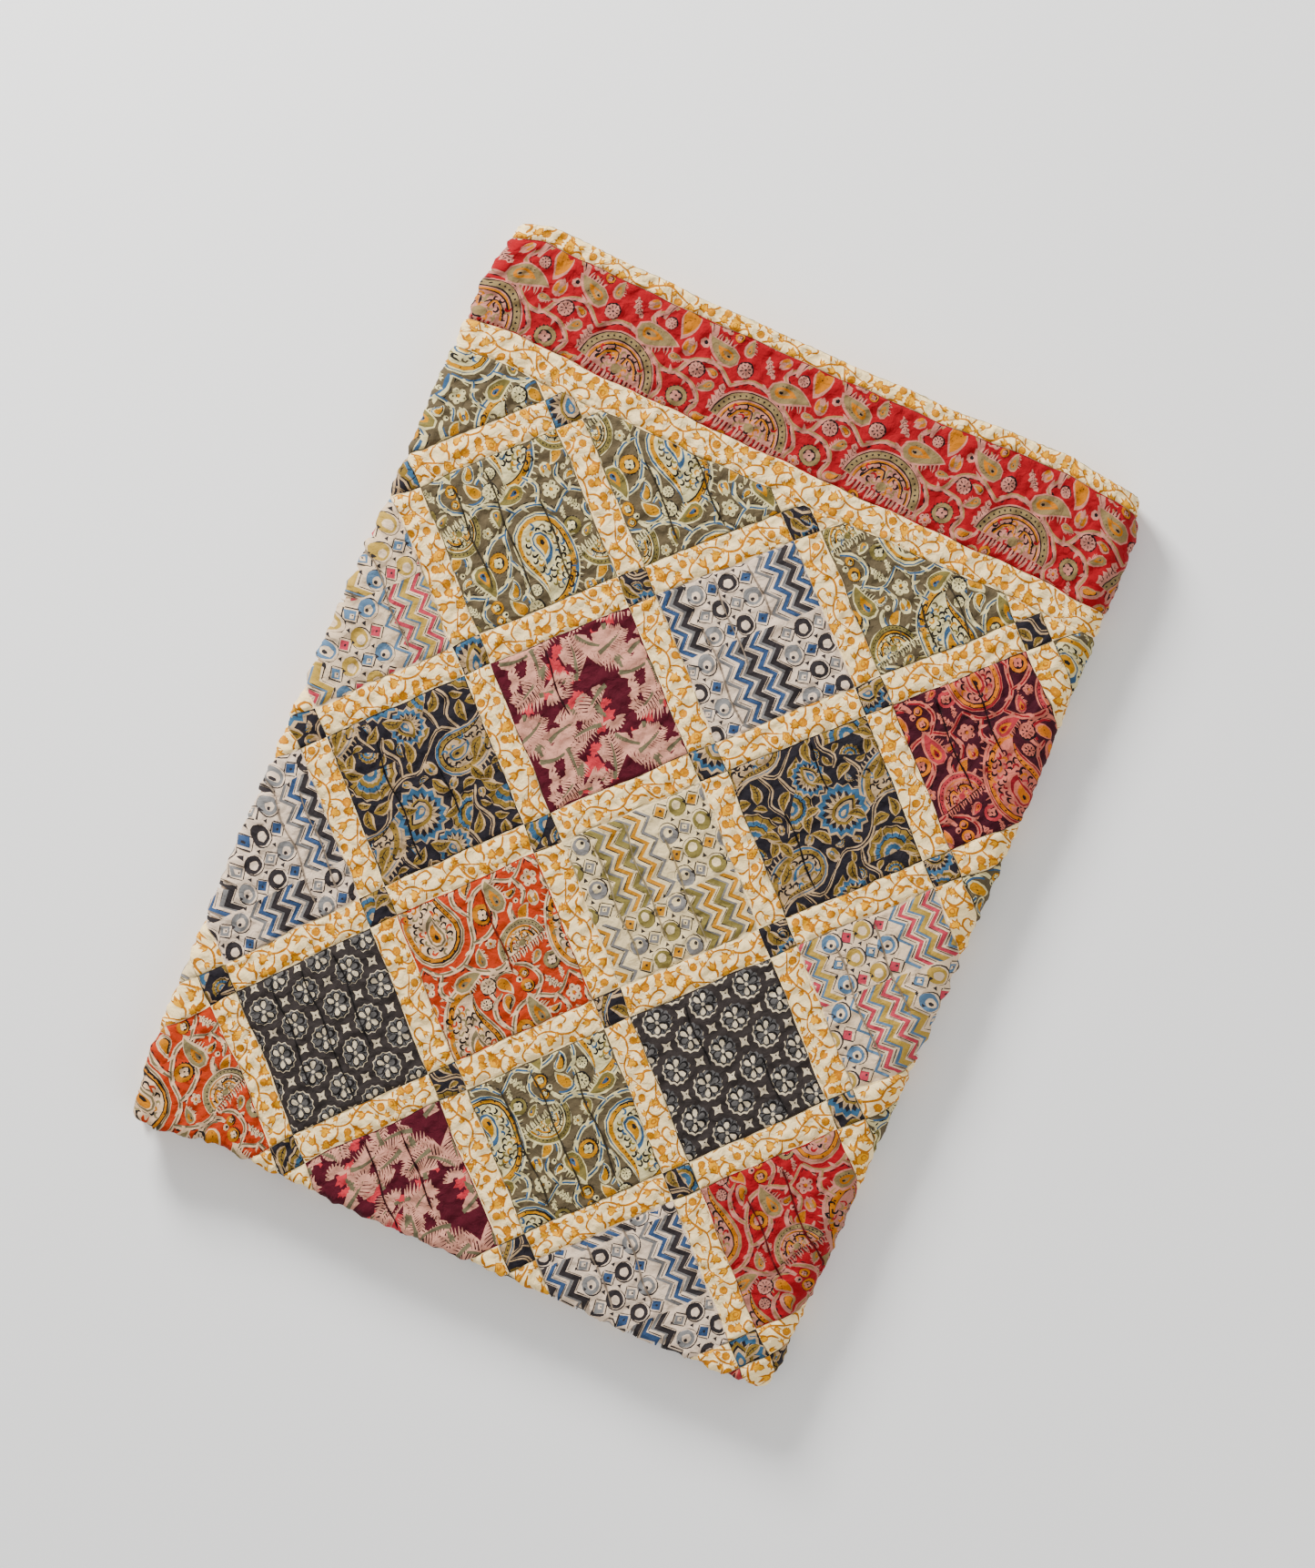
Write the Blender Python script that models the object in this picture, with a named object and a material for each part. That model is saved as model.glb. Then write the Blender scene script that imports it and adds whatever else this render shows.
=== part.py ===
"""Folded patchwork quilt: one padded cloth lying in eight plies, and its four bindings.

Units are metres and +Z is up. The pack lies on z = 0, centred on the origin, its length along Y.
The cloth is worked out flat, as s across the quilt, t down it and n through its thickness. It is
folded in half along t, then in half and in half again along s, which leaves one continuous section.
"""

import math
from dataclasses import dataclass

import bpy
from mathutils import Vector
from mathutils.geometry import delaunay_2d_cdt

# Outer size of the folded pack, seen from above
PACK_WIDTH = 0.628
PACK_LENGTH = 0.868

# The padded cloth and how its plies lie
CLOTH_THICKNESS = 0.005
PLY_GAP = 0.001
BINDING_WIDTH = 0.016
PIECE_GAP = 0.0003
LOWER_END_INSET = 0.004
INNER_LAYER_INSET = 0.009

# Height of each pair of plies, counted from the middle between the two
PLY_PITCH = CLOTH_THICKNESS + PLY_GAP
PAIR_PITCH = 2 * PLY_PITCH
PAIR_HALF_HEIGHT = PLY_PITCH / 2 + CLOTH_THICKNESS / 2
LOWEST_PAIR_Z = PAIR_HALF_HEIGHT

# Fold radii at the middle of a pair of plies
LENGTH_FOLD_RADIUS = PLY_PITCH / 2
SMALL_FOLD_RADIUS = PAIR_PITCH / 2
BIG_FOLD_RADIUS = 3 * PAIR_PITCH / 2
RIGHT_FOLD_X = PACK_WIDTH / 2 - BIG_FOLD_RADIUS - PAIR_HALF_HEIGHT
LEFT_FOLD_X = -PACK_WIDTH / 2 + SMALL_FOLD_RADIUS + PAIR_HALF_HEIGHT
UNDER_EDGE_X = -PACK_WIDTH / 2
INNER_EDGE_X = -PACK_WIDTH / 2 + INNER_LAYER_INSET

# Lengths down the cloth, from its top end edge to the lengthwise fold and back
TOP_EDGE_Y = PACK_LENGTH / 2
FIRST_HALF_LENGTH = PACK_LENGTH - LENGTH_FOLD_RADIUS - CLOTH_THICKNESS / 2

# Diagonal lattice of the patches on the upper panel, from its top left corner
LATTICE_PITCH = 0.166
SASHING_WIDTH = 0.027
FIRST_CORNERSTONE_X = -0.2028
FIRST_CORNERSTONE_V = 0.1432
COLUMN_PITCH = 0.1156
ROW_PITCH = 0.1168
ROW_SHIFT = 0.0068
CHANNELS_PER_PATCH = 4
ROWS_PER_PATCH = 4

# Seams of the bands along the top end, measured down from the top edge
BAND_SEAMS = (0.016, 0.107, 0.134)
BAND_STEP = 0.040

# Height of the relief that the wadding gives the upper panel
PATCH_CROWN = 0.0018
CHANNEL_CROWN = 0.0012
SASHING_CROWN = 0.0010
BAND_CROWN = 0.0014
RELIEF_FADE = 0.025
SEAM_CLEARANCE = 0.007

# Slack in how the pack lies
MIDDLE_SAG = 0.055
SWELL = 0.022
SWELL_WAVELENGTHS = (0.47, 0.61)
UNDER_LAYER_TOP = PAIR_PITCH - PLY_GAP / 2
INSET_REACH = 0.20

BINDING_EDGE_SHARE = 0.55
BINDING_ROUNDING = 0.004
MERGE_DISTANCE = 1e-5
SMOOTH_ANGLE = math.radians(40)


@dataclass(frozen=True)
class Run:
    """One stretch of the cloth's way: straight, or a half turn, 1 anticlockwise and -1 clockwise.

    A straight one has a line of points at each of its marks, and a turn has even steps.
    """

    start: float
    end: float
    turn: int = 0
    steps: int = 0

    @property
    def length(self):
        """Length of cloth in this stretch."""
        return math.pi * abs(self.end - self.start) if self.turn else abs(self.end - self.start)


@dataclass(frozen=True)
class SideInset:
    """How far the side edges lie inside the pack's full width, at one distance down it."""

    down: float
    left: float
    right: float
    under: float


@dataclass(frozen=True)
class EndInset:
    """How far the end edges lie inside the pack's full length, at one distance across it."""

    across: float
    top: float
    bottom: float


@dataclass(frozen=True)
class Finish:
    """Colour and roughness of one cloth."""

    colour: tuple[float, float, float]
    roughness: float


ACROSS = (
    Run(UNDER_EDGE_X, RIGHT_FOLD_X),
    Run(0.0, BIG_FOLD_RADIUS, 1, 8),
    Run(RIGHT_FOLD_X, LEFT_FOLD_X),
    Run(0.0, SMALL_FOLD_RADIUS, 1, 6),
    Run(LEFT_FOLD_X, RIGHT_FOLD_X),
    Run(0.0, SMALL_FOLD_RADIUS, -1, 6),
    Run(RIGHT_FOLD_X, INNER_EDGE_X),
)
UPPER_PANEL = 2
DOWN = (
    Run(0.0, FIRST_HALF_LENGTH),
    Run(0.0, LENGTH_FOLD_RADIUS, 1, 6),
    Run(FIRST_HALF_LENGTH, LOWER_END_INSET),
)

SIDE_INSETS = (
    SideInset(0.000, 0.0096, 0.0200, 0.0110),
    SideInset(0.036, 0.0050, 0.0100, 0.0080),
    SideInset(0.065, 0.0008, 0.0088, 0.0040),
    SideInset(0.180, 0.0006, 0.0056, 0.0030),
    SideInset(0.300, 0.0016, 0.0020, 0.0040),
    SideInset(0.480, 0.0004, 0.0016, 0.0030),
    SideInset(0.640, 0.0034, 0.0018, 0.0050),
    SideInset(0.740, 0.0050, 0.0024, 0.0060),
    SideInset(0.800, 0.0068, 0.0028, 0.0066),
    SideInset(0.826, 0.0090, 0.0024, 0.0052),
    SideInset(0.842, 0.0128, 0.0018, 0.0138),
    SideInset(0.868, 0.0160, 0.0052, 0.0176),
)

END_INSETS = (
    EndInset(-0.314, 0.0090, 0.0024),
    EndInset(-0.285, 0.0006, 0.0014),
    EndInset(-0.232, 0.0016, 0.0110),
    EndInset(-0.180, 0.0040, 0.0070),
    EndInset(-0.060, 0.0050, 0.0050),
    EndInset(0.090, 0.0052, 0.0060),
    EndInset(0.235, 0.0006, 0.0052),
    EndInset(0.272, 0.0050, 0.0050),
    EndInset(0.314, 0.0104, 0.0090),
)

COLUMN_MARKS = tuple(row.across for row in END_INSETS)
ROW_MARKS = tuple(row.down for row in SIDE_INSETS)

PATCHWORK = Finish((0.34, 0.27, 0.17), 0.9)
PRINTED_BINDING = Finish((0.80, 0.62, 0.36), 0.88)


def smooth_step(value, low, high):
    """Share of the way from low to high, eased at both ends."""
    share = min(max((value - low) / (high - low), 0.0), 1.0)
    return share * share * (3 - 2 * share)


def run_ends(runs):
    """Running length at each end of the runs."""
    ends = [0.0]
    for run in runs:
        ends.append(ends[-1] + run.length)
    return ends


def stations(runs, marks, first, last):
    """Places along the runs where the cloth has a line of points, from first to last."""
    places = []
    start = 0.0
    for run in runs:
        if run.turn:
            places += [start + run.length * step / run.steps for step in range(run.steps + 1)]
        else:
            low, high = sorted((run.start, run.end))
            inside = [mark for mark in marks if low + SEAM_CLEARANCE < mark < high - SEAM_CLEARANCE]
            places += [start + abs(mark - run.start) for mark in inside]
        start += run.length
    clear = PIECE_GAP + BINDING_ROUNDING
    return [first] + sorted(place for place in places if first + clear < place < last - clear) + [last]


def fold_down(t, n):
    """Distance down the pack and height off the middle of the pair of plies."""
    if t <= FIRST_HALF_LENGTH:
        return t, LENGTH_FOLD_RADIUS + n
    past = t - FIRST_HALF_LENGTH
    if past <= math.pi * LENGTH_FOLD_RADIUS:
        angle = past / LENGTH_FOLD_RADIUS
        reach = LENGTH_FOLD_RADIUS + n
        return FIRST_HALF_LENGTH + reach * math.sin(angle), reach * math.cos(angle)
    back = past - math.pi * LENGTH_FOLD_RADIUS
    return FIRST_HALF_LENGTH - back, -(LENGTH_FOLD_RADIUS + n)


def fold_across(s, h):
    """Place across the pack and height above the floor of a point h off the pair's middle."""
    x = UNDER_EDGE_X
    z = LOWEST_PAIR_Z
    heading = 0.0
    rest = s
    for run in ACROSS:
        length = min(rest, run.length)
        if run.turn:
            radius = run.end
            turned = heading + run.turn * length / radius
            x += run.turn * radius * (math.sin(turned) - math.sin(heading))
            z -= run.turn * radius * (math.cos(turned) - math.cos(heading))
            heading = turned
        else:
            x += length * math.cos(heading)
            z += length * math.sin(heading)
        rest -= length
        if rest <= 0:
            break
    return x + h * math.sin(heading), z - h * math.cos(heading)


def between(rows, key, value):
    """The two neighbouring rows of a table around this value, and the share of the way."""
    value = min(max(value, key(rows[0])), key(rows[-1]))
    for before, after in zip(rows, rows[1:]):
        if value <= key(after):
            return before, after, (value - key(before)) / (key(after) - key(before))
    return rows[-2], rows[-1], 1.0


def mix(first, last, share):
    """Value between two others."""
    return first + share * (last - first)


def settle(x, y, z):
    """Moves a point of the straight pack to where the soft pack lies."""
    before, after, share = between(SIDE_INSETS, lambda row: row.down, TOP_EDGE_Y - y)
    left = mix(before.left, after.left, share)
    if z < UNDER_LAYER_TOP:
        left = mix(before.under, after.under, share)
    right = mix(before.right, after.right, share)
    leftness = smooth_step(-x, PACK_WIDTH / 2 - INSET_REACH, PACK_WIDTH / 2)
    rightness = smooth_step(x, PACK_WIDTH / 2 - INSET_REACH, PACK_WIDTH / 2)
    moved_x = x + leftness * left - rightness * right

    before, after, share = between(END_INSETS, lambda row: row.across, x)
    top = mix(before.top, after.top, share)
    bottom = mix(before.bottom, after.bottom, share)
    topness = smooth_step(y, TOP_EDGE_Y - INSET_REACH, TOP_EDGE_Y)
    bottomness = smooth_step(-y, TOP_EDGE_Y - INSET_REACH, TOP_EDGE_Y)
    moved_y = y - topness * top + bottomness * bottom

    sag = (1 - (2 * x / PACK_WIDTH) ** 2) * (1 - 0.5 * (2 * y / PACK_LENGTH) ** 2)
    across, down = SWELL_WAVELENGTHS
    swell = math.sin(2 * math.pi * x / across + 0.7) * math.sin(2 * math.pi * y / down + 0.4)
    return Vector((moved_x, moved_y, z * (1 - MIDDLE_SAG * sag + SWELL * swell)))


def folded(s, t, n):
    """Where a point of the flat cloth lies in the folded pack."""
    down, off_middle = fold_down(t, n)
    x, z = fold_across(s, off_middle)
    return settle(x, TOP_EDGE_Y - down, z)


def panel_x(s):
    """Distance from the pack's middle of a point on the upper panel, as its flat plan has it."""
    return RIGHT_FOLD_X - (s - run_ends(ACROSS)[UPPER_PANEL])


def lattice_place(s, t):
    """Place in the lattice: cornerstones are where both numbers are whole."""
    row = (t - FIRST_CORNERSTONE_V) / ROW_PITCH
    column = (panel_x(s) - FIRST_CORNERSTONE_X - ROW_SHIFT * row) / COLUMN_PITCH
    return (column + row) / 2, (column - row) / 2


def lattice_point(p, q):
    """Flat place of a point given by its place in the lattice."""
    row = p - q
    column = p + q
    x = FIRST_CORNERSTONE_X + COLUMN_PITCH * column + ROW_SHIFT * row
    return run_ends(ACROSS)[UPPER_PANEL] + RIGHT_FOLD_X - x, FIRST_CORNERSTONE_V + ROW_PITCH * row


def bump(share, count=1):
    """Height of a row of soft ridges, zero at both ends and between them."""
    return abs(math.sin(math.pi * share * count))


def relief(s, t):
    """How far the wadding lifts the outer face of the upper panel."""
    first, last = run_ends(ACROSS)[UPPER_PANEL:UPPER_PANEL + 2]
    inside = min(s - first, last - s, FIRST_HALF_LENGTH - t)
    if inside <= 0:
        return 0.0
    fade = smooth_step(inside, 0.0, RELIEF_FADE)
    if t < BAND_SEAMS[-1]:
        edges = (0.0,) + BAND_SEAMS
        for low, high in zip(edges, edges[1:]):
            if low <= t <= high:
                ripple = 0.7 + 0.3 * math.sin(2 * math.pi * s / (2.6 * BAND_STEP))
                return fade * BAND_CROWN * ripple * bump((t - low) / (high - low))
    half_sashing = SASHING_WIDTH / LATTICE_PITCH / 2
    p, q = lattice_place(s, t)
    along = (p - math.floor(p) - half_sashing) / (1 - 2 * half_sashing)
    over = (q - math.floor(q) - half_sashing) / (1 - 2 * half_sashing)
    if 0 < along < 1 and 0 < over < 1:
        patch = PATCH_CROWN * bump(along) * bump(over)
        return fade * (patch + CHANNEL_CROWN * bump(over, CHANNELS_PER_PATCH) * bump(along) ** 0.5)
    centred = min(abs(p - round(p)), abs(q - round(q))) / half_sashing
    return fade * SASHING_CROWN * max(0.0, 1 - centred)


def panel_points(rows):
    """Points of the upper panel's relief: bands at the top, then the patches' own grid."""
    first, last = run_ends(ACROSS)[UPPER_PANEL:UPPER_PANEL + 2]
    half_sashing = SASHING_WIDTH / LATTICE_PITCH / 2
    patch_share = 1 - 2 * half_sashing
    points = []

    edges = (rows[0],) + BAND_SEAMS
    across_steps = round((last - first) / BAND_STEP)
    for low, high in zip(edges, edges[1:]):
        for step in range(1, across_steps):
            s = first + (last - first) * step / across_steps
            points.append((s, high))
            if high - low > SEAM_CLEARANCE:
                points.append((s, (low + high) / 2))

    over_steps = 2 * CHANNELS_PER_PATCH
    overs = [-half_sashing, 0.0, half_sashing]
    overs += [half_sashing + patch_share * k / over_steps for k in range(1, over_steps)]
    alongs = [-half_sashing, 0.0, half_sashing]
    alongs += [half_sashing + patch_share * k / ROWS_PER_PATCH for k in range(1, ROWS_PER_PATCH)]
    reach = range(-4, 9)
    for p_whole in reach:
        for q_whole in reach:
            for along in alongs:
                for over in overs:
                    s, t = lattice_point(p_whole + along, q_whole + over)
                    beside = min(s - first, last - s, FIRST_HALF_LENGTH - t, t - BAND_SEAMS[-1])
                    if beside > SEAM_CLEARANCE:
                        points.append((s, t))
    return points


def rim(columns, rows):
    """Flat outline of a piece, anticlockwise, with a point at each of its lines."""
    low = [(s, rows[0]) for s in columns[:-1]]
    right = [(columns[-1], t) for t in rows[:-1]]
    high = [(s, rows[-1]) for s in reversed(columns[1:])]
    left = [(columns[0], t) for t in reversed(rows[1:])]
    return low + right + high + left


def grid_lines(columns, rows, window):
    """Lines of points down and across a piece, left out inside the window if it has one."""

    def kept(s, t):
        return window is None or not (window[0] < s < window[1] and t < window[2])

    down = [[(s, t) for t in rows if kept(s, t)] for s in columns[1:-1]]
    across = []
    for t in rows[1:-1]:
        line = []
        for s in columns:
            if kept(s, t):
                line.append((s, t))
            elif line:
                across.append(line)
                line = []
        across.append(line)
    return down + across


def net(outline, lines, inner):
    """Triangles over a flat outline that keep its points, its lines and its inner points."""
    places = list(outline)
    edges = []
    for line in lines:
        start = len(places)
        places += line
        edges += [(start + k, start + k + 1) for k in range(len(line) - 1)]
    places += inner
    made = delaunay_2d_cdt(
        [Vector(place) for place in places], edges, [list(range(len(outline)))], 1, MERGE_DISTANCE, True
    )
    flat, _, triangles, sources = made[:4]
    made_of = {}
    for index, origins in enumerate(sources):
        for origin in origins:
            made_of[origin] = index
    outline_now = [made_of[k] for k in range(len(outline))]
    return flat, triangles, outline_now


def rounded(t, first, last, thickness):
    """Half thickness of the cloth, drawn in at the bound edges."""
    edge = min(t - first, last - t)
    share = BINDING_EDGE_SHARE + (1 - BINDING_EDGE_SHARE) * smooth_step(edge, 0.0, BINDING_ROUNDING)
    return thickness / 2 * share


def cloth_piece(name, columns, rows, finish, inner=(), window=None, edge_of=None):
    """Closed solid of one piece of the cloth, folded into the pack."""
    outline = rim(columns, rows)
    front_net = net(outline, grid_lines(columns, rows, window), list(inner))
    back_net = net(outline, grid_lines(columns, rows, None), [])

    vertices = []
    faces = []
    rims = []
    for side, (flat, triangles, outline_now) in ((1, front_net), (-1, back_net)):
        start = len(vertices)
        for place in flat:
            s, t = place
            half = CLOTH_THICKNESS / 2 if edge_of is None else edge_of(s, t)
            lift = relief(s, t) if side > 0 else 0.0
            vertices.append(folded(s, t, side * half + lift))
        for triangle in triangles:
            corners = [start + k for k in triangle]
            faces.append(corners if side > 0 else corners[::-1])
        rims.append([start + k for k in outline_now])
    front_rim, back_rim = rims
    for k in range(len(outline)):
        after = (k + 1) % len(outline)
        faces.append((front_rim[k], back_rim[k], back_rim[after], front_rim[after]))

    mesh = bpy.data.meshes.new(name)
    mesh.from_pydata(vertices, [], faces)
    mesh.shade_smooth()
    mesh.set_sharp_from_angle(angle=SMOOTH_ANGLE)
    mesh.materials.append(cloth_material(name, finish))
    piece = bpy.data.objects.new(name, mesh)
    bpy.context.scene.collection.objects.link(piece)
    return piece


def cloth_material(name, finish):
    """Principled material of one cloth."""
    material = bpy.data.materials.new(name)
    material.use_nodes = True
    shader = material.node_tree.nodes["Principled BSDF"]
    shader.inputs["Base Color"].default_value = (*finish.colour, 1.0)
    shader.inputs["Roughness"].default_value = finish.roughness
    shader.inputs["Metallic"].default_value = 0.0
    return material


def make_body():
    """The patchwork cloth inside its bindings."""
    edge = BINDING_WIDTH + PIECE_GAP
    columns = stations(ACROSS, COLUMN_MARKS, edge, run_ends(ACROSS)[-1] - edge)
    rows = stations(DOWN, ROW_MARKS, edge, run_ends(DOWN)[-1] - edge)
    first, last = run_ends(ACROSS)[UPPER_PANEL:UPPER_PANEL + 2]
    lower = FIRST_HALF_LENGTH - MERGE_DISTANCE
    window = (first + MERGE_DISTANCE, last - MERGE_DISTANCE, lower)
    inner = [place for place in panel_points(rows) if place[1] > rows[0] + MERGE_DISTANCE]
    return cloth_piece("quilt_body", columns, rows, PATCHWORK, inner, window)


def make_end_binding(name, first, last):
    """Binding along one end edge, through all four panels of the pack."""
    length = run_ends(DOWN)[-1]
    across = run_ends(ACROSS)[-1]
    columns = stations(ACROSS, COLUMN_MARKS, 0.0, across)
    middle = first + BINDING_ROUNDING if first == 0.0 else last - BINDING_ROUNDING
    rows = [first, middle, last]

    def edge_of(s, t):
        return min(rounded(t, 0.0, length, CLOTH_THICKNESS), rounded(s, 0.0, across, CLOTH_THICKNESS))

    return cloth_piece(name, columns, rows, PRINTED_BINDING, edge_of=edge_of)


def make_side_binding(name, first, last):
    """Binding along one side edge, from end binding to end binding."""
    edge = BINDING_WIDTH + PIECE_GAP
    across = run_ends(ACROSS)[-1]
    rows = stations(DOWN, ROW_MARKS, edge, run_ends(DOWN)[-1] - edge)
    middle = first + BINDING_ROUNDING if first == 0.0 else last - BINDING_ROUNDING
    columns = [first, middle, last]

    def edge_of(s, t):
        return rounded(s, 0.0, across, CLOTH_THICKNESS)

    return cloth_piece(name, columns, rows, PRINTED_BINDING, edge_of=edge_of)


def centre_pack(pieces):
    """Moves the pieces so that the pack's middle is over the origin and it stands on z = 0."""
    corners = [vertex.co for piece in pieces for vertex in piece.data.vertices]
    low = [min(corner[axis] for corner in corners) for axis in range(3)]
    high = [max(corner[axis] for corner in corners) for axis in range(3)]
    shift = Vector((-(low[0] + high[0]) / 2, -(low[1] + high[1]) / 2, -low[2]))
    for piece in pieces:
        for vertex in piece.data.vertices:
            vertex.co += shift


def main():
    """Builds the quilt in an empty scene."""
    for thing in list(bpy.data.objects):
        bpy.data.objects.remove(thing, do_unlink=True)
    length = run_ends(DOWN)[-1]
    across = run_ends(ACROSS)[-1]
    pieces = [
        make_body(),
        make_end_binding("binding_upper_end", 0.0, BINDING_WIDTH),
        make_end_binding("binding_lower_end", length - BINDING_WIDTH, length),
        make_side_binding("binding_under_side", 0.0, BINDING_WIDTH),
        make_side_binding("binding_inner_side", across - BINDING_WIDTH, across),
    ]
    centre_pack(pieces)


main()
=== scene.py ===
"""Looks of the folded patchwork quilt: its printed patches, sashing, bands, bindings and studio.

The flat cloth is measured in millimetres, as s across the quilt, t down it and n through it, and
FoldedCloth lays any flat point into the pack. Every print is drawn flat as closed marks over a
ground, cut into one mesh with it, and carried into the folds.
"""

import logging
import math
from dataclasses import dataclass, field
from enum import Enum
from functools import lru_cache, partial
from typing import ClassVar

import bmesh
import bpy
import numpy as np
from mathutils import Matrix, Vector
from mathutils.geometry import delaunay_2d_cdt

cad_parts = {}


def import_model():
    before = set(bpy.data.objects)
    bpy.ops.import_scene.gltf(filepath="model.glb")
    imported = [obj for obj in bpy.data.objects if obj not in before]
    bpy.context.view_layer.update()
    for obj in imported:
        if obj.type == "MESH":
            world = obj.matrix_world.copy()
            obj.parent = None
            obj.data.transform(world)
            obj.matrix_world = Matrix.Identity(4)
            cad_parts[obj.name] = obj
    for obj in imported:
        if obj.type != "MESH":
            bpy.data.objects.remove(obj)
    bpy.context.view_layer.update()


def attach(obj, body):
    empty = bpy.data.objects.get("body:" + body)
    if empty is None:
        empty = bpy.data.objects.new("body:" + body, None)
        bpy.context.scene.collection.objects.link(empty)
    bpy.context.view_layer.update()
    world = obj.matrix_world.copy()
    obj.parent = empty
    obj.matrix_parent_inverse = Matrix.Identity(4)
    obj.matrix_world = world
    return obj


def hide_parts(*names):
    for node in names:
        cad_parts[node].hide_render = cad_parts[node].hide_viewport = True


LOG = logging.getLogger("quilt")
ROOT = "root"
MM = 0.001

Points = np.ndarray
Mark = tuple[str, Points]


class Detail(Enum):
    """How finely a piece is drawn, by how closely it is seen."""

    FINE = (1.0, 0.4)
    UNDER = (0.4, 11.0)
    HIDDEN = (0.25, 40.0)

    def __init__(self, share: float, least: float) -> None:
        """Takes the share of the finest curve steps and the least area of a mark, in mm2."""
        self.share = share
        self.least = least

    @property
    def spacing(self) -> float:
        """Distance between the points of a piece's mesh, in mm."""
        return 4.6 / self.share


class Fabric(Enum):
    """Printed cottons of the patchwork."""

    OLIVE = "olive_paisley"
    RED = "red_paisley"
    ORANGE = "orange_paisley"
    BURGUNDY = "burgundy_paisley"
    NAVY = "navy_floral"
    MEDALLION = "charcoal_medallion"
    FEATHER = "maroon_feather"
    GEO_BLUE = "blue_geometric"
    GEO_PINK = "pink_geometric"
    GEO_GREEN = "green_geometric"
    VINE = "mustard_vine"


@dataclass(frozen=True)
class Run:
    """One stretch of the cloth's way: straight, or a half turn (1 anticlockwise, -1 clockwise)."""

    start: float
    end: float
    turn: int = 0
    steps: int = 0

    @property
    def length(self) -> float:
        """Length of cloth in this stretch."""
        span = abs(self.end - self.start)
        return math.pi * span if self.turn else span


@dataclass(frozen=True)
class SideInset:
    """How far the side edges lie inside the full width, at one distance down the pack."""

    down: float
    left: float
    right: float
    under: float


@dataclass(frozen=True)
class EndInset:
    """How far the end edges lie inside the full length, at one distance across the pack."""

    across: float
    top: float
    bottom: float


@dataclass(frozen=True)
class PackSizes:
    """Real sizes of the folded pack, in millimetres."""

    width: float = 628.0
    length: float = 868.0
    thickness: float = 5.0
    ply_gap: float = 1.0
    binding: float = 16.0
    lower_end_inset: float = 4.0
    inner_inset: float = 9.0
    inset_reach: float = 200.0
    middle_sag: float = 0.055
    swell: float = 0.022
    swell_across: float = 470.0
    swell_down: float = 610.0
    drift: float = 0.7

    @property
    def ply_pitch(self) -> float:
        """Height from one ply to the next."""
        return self.thickness + self.ply_gap

    @property
    def pair_pitch(self) -> float:
        """Height from one pair of plies to the next."""
        return 2 * self.ply_pitch

    @property
    def pair_half(self) -> float:
        """Height of a pair of plies above its own middle."""
        return self.ply_pitch / 2 + self.thickness / 2

    @property
    def length_fold(self) -> float:
        """Radius of the fold across the quilt, at the middle of the cloth."""
        return self.ply_pitch / 2

    @property
    def small_fold(self) -> float:
        """Radius of the two small folds along the quilt, at the middle of the pair."""
        return self.pair_pitch / 2

    @property
    def big_fold(self) -> float:
        """Radius of the big fold along the quilt, at the middle of the pair."""
        return 3 * self.pair_pitch / 2

    @property
    def right_fold_x(self) -> float:
        """Where the right folds begin."""
        return self.width / 2 - self.big_fold - self.pair_half

    @property
    def left_fold_x(self) -> float:
        """Where the left fold begins."""
        return -self.width / 2 + self.small_fold + self.pair_half

    @property
    def first_half(self) -> float:
        """Length of cloth from the upper end edge to the fold across the quilt."""
        return self.length - self.length_fold - self.thickness / 2


SIDE_INSETS = tuple(SideInset(*row) for row in (
    (0.0, 9.6, 20.0, 11.0), (36.0, 5.0, 10.0, 8.0), (65.0, 0.8, 8.8, 4.0), (180.0, 0.6, 5.6, 3.0),
    (300.0, 1.6, 2.0, 4.0), (480.0, 0.4, 1.6, 3.0), (640.0, 3.4, 1.8, 5.0), (740.0, 5.0, 2.4, 6.0),
    (800.0, 6.8, 2.8, 6.6), (826.0, 9.0, 2.4, 5.2), (842.0, 12.8, 1.8, 13.8), (868.0, 16.0, 5.2, 17.6),
))
END_INSETS = tuple(EndInset(*row) for row in (
    (-314.0, 9.0, 2.4), (-285.0, 0.6, 1.4), (-232.0, 1.6, 11.0), (-180.0, 4.0, 7.0), (-60.0, 5.0, 5.0),
    (90.0, 5.2, 6.0), (235.0, 0.6, 5.2), (272.0, 5.0, 5.0), (314.0, 10.4, 9.0),
))


def eased(value: Points, low: float, high: float) -> Points:
    """Share of the way from low to high, eased at both ends.

    Args:
        value: The values to place between low and high.
        low: Where the share is 0.
        high: Where the share is 1.

    Returns:
        The shares, from 0 to 1.
    """
    share = np.clip((value - low) / (high - low), 0.0, 1.0)
    return share * share * (3 - 2 * share)


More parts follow.
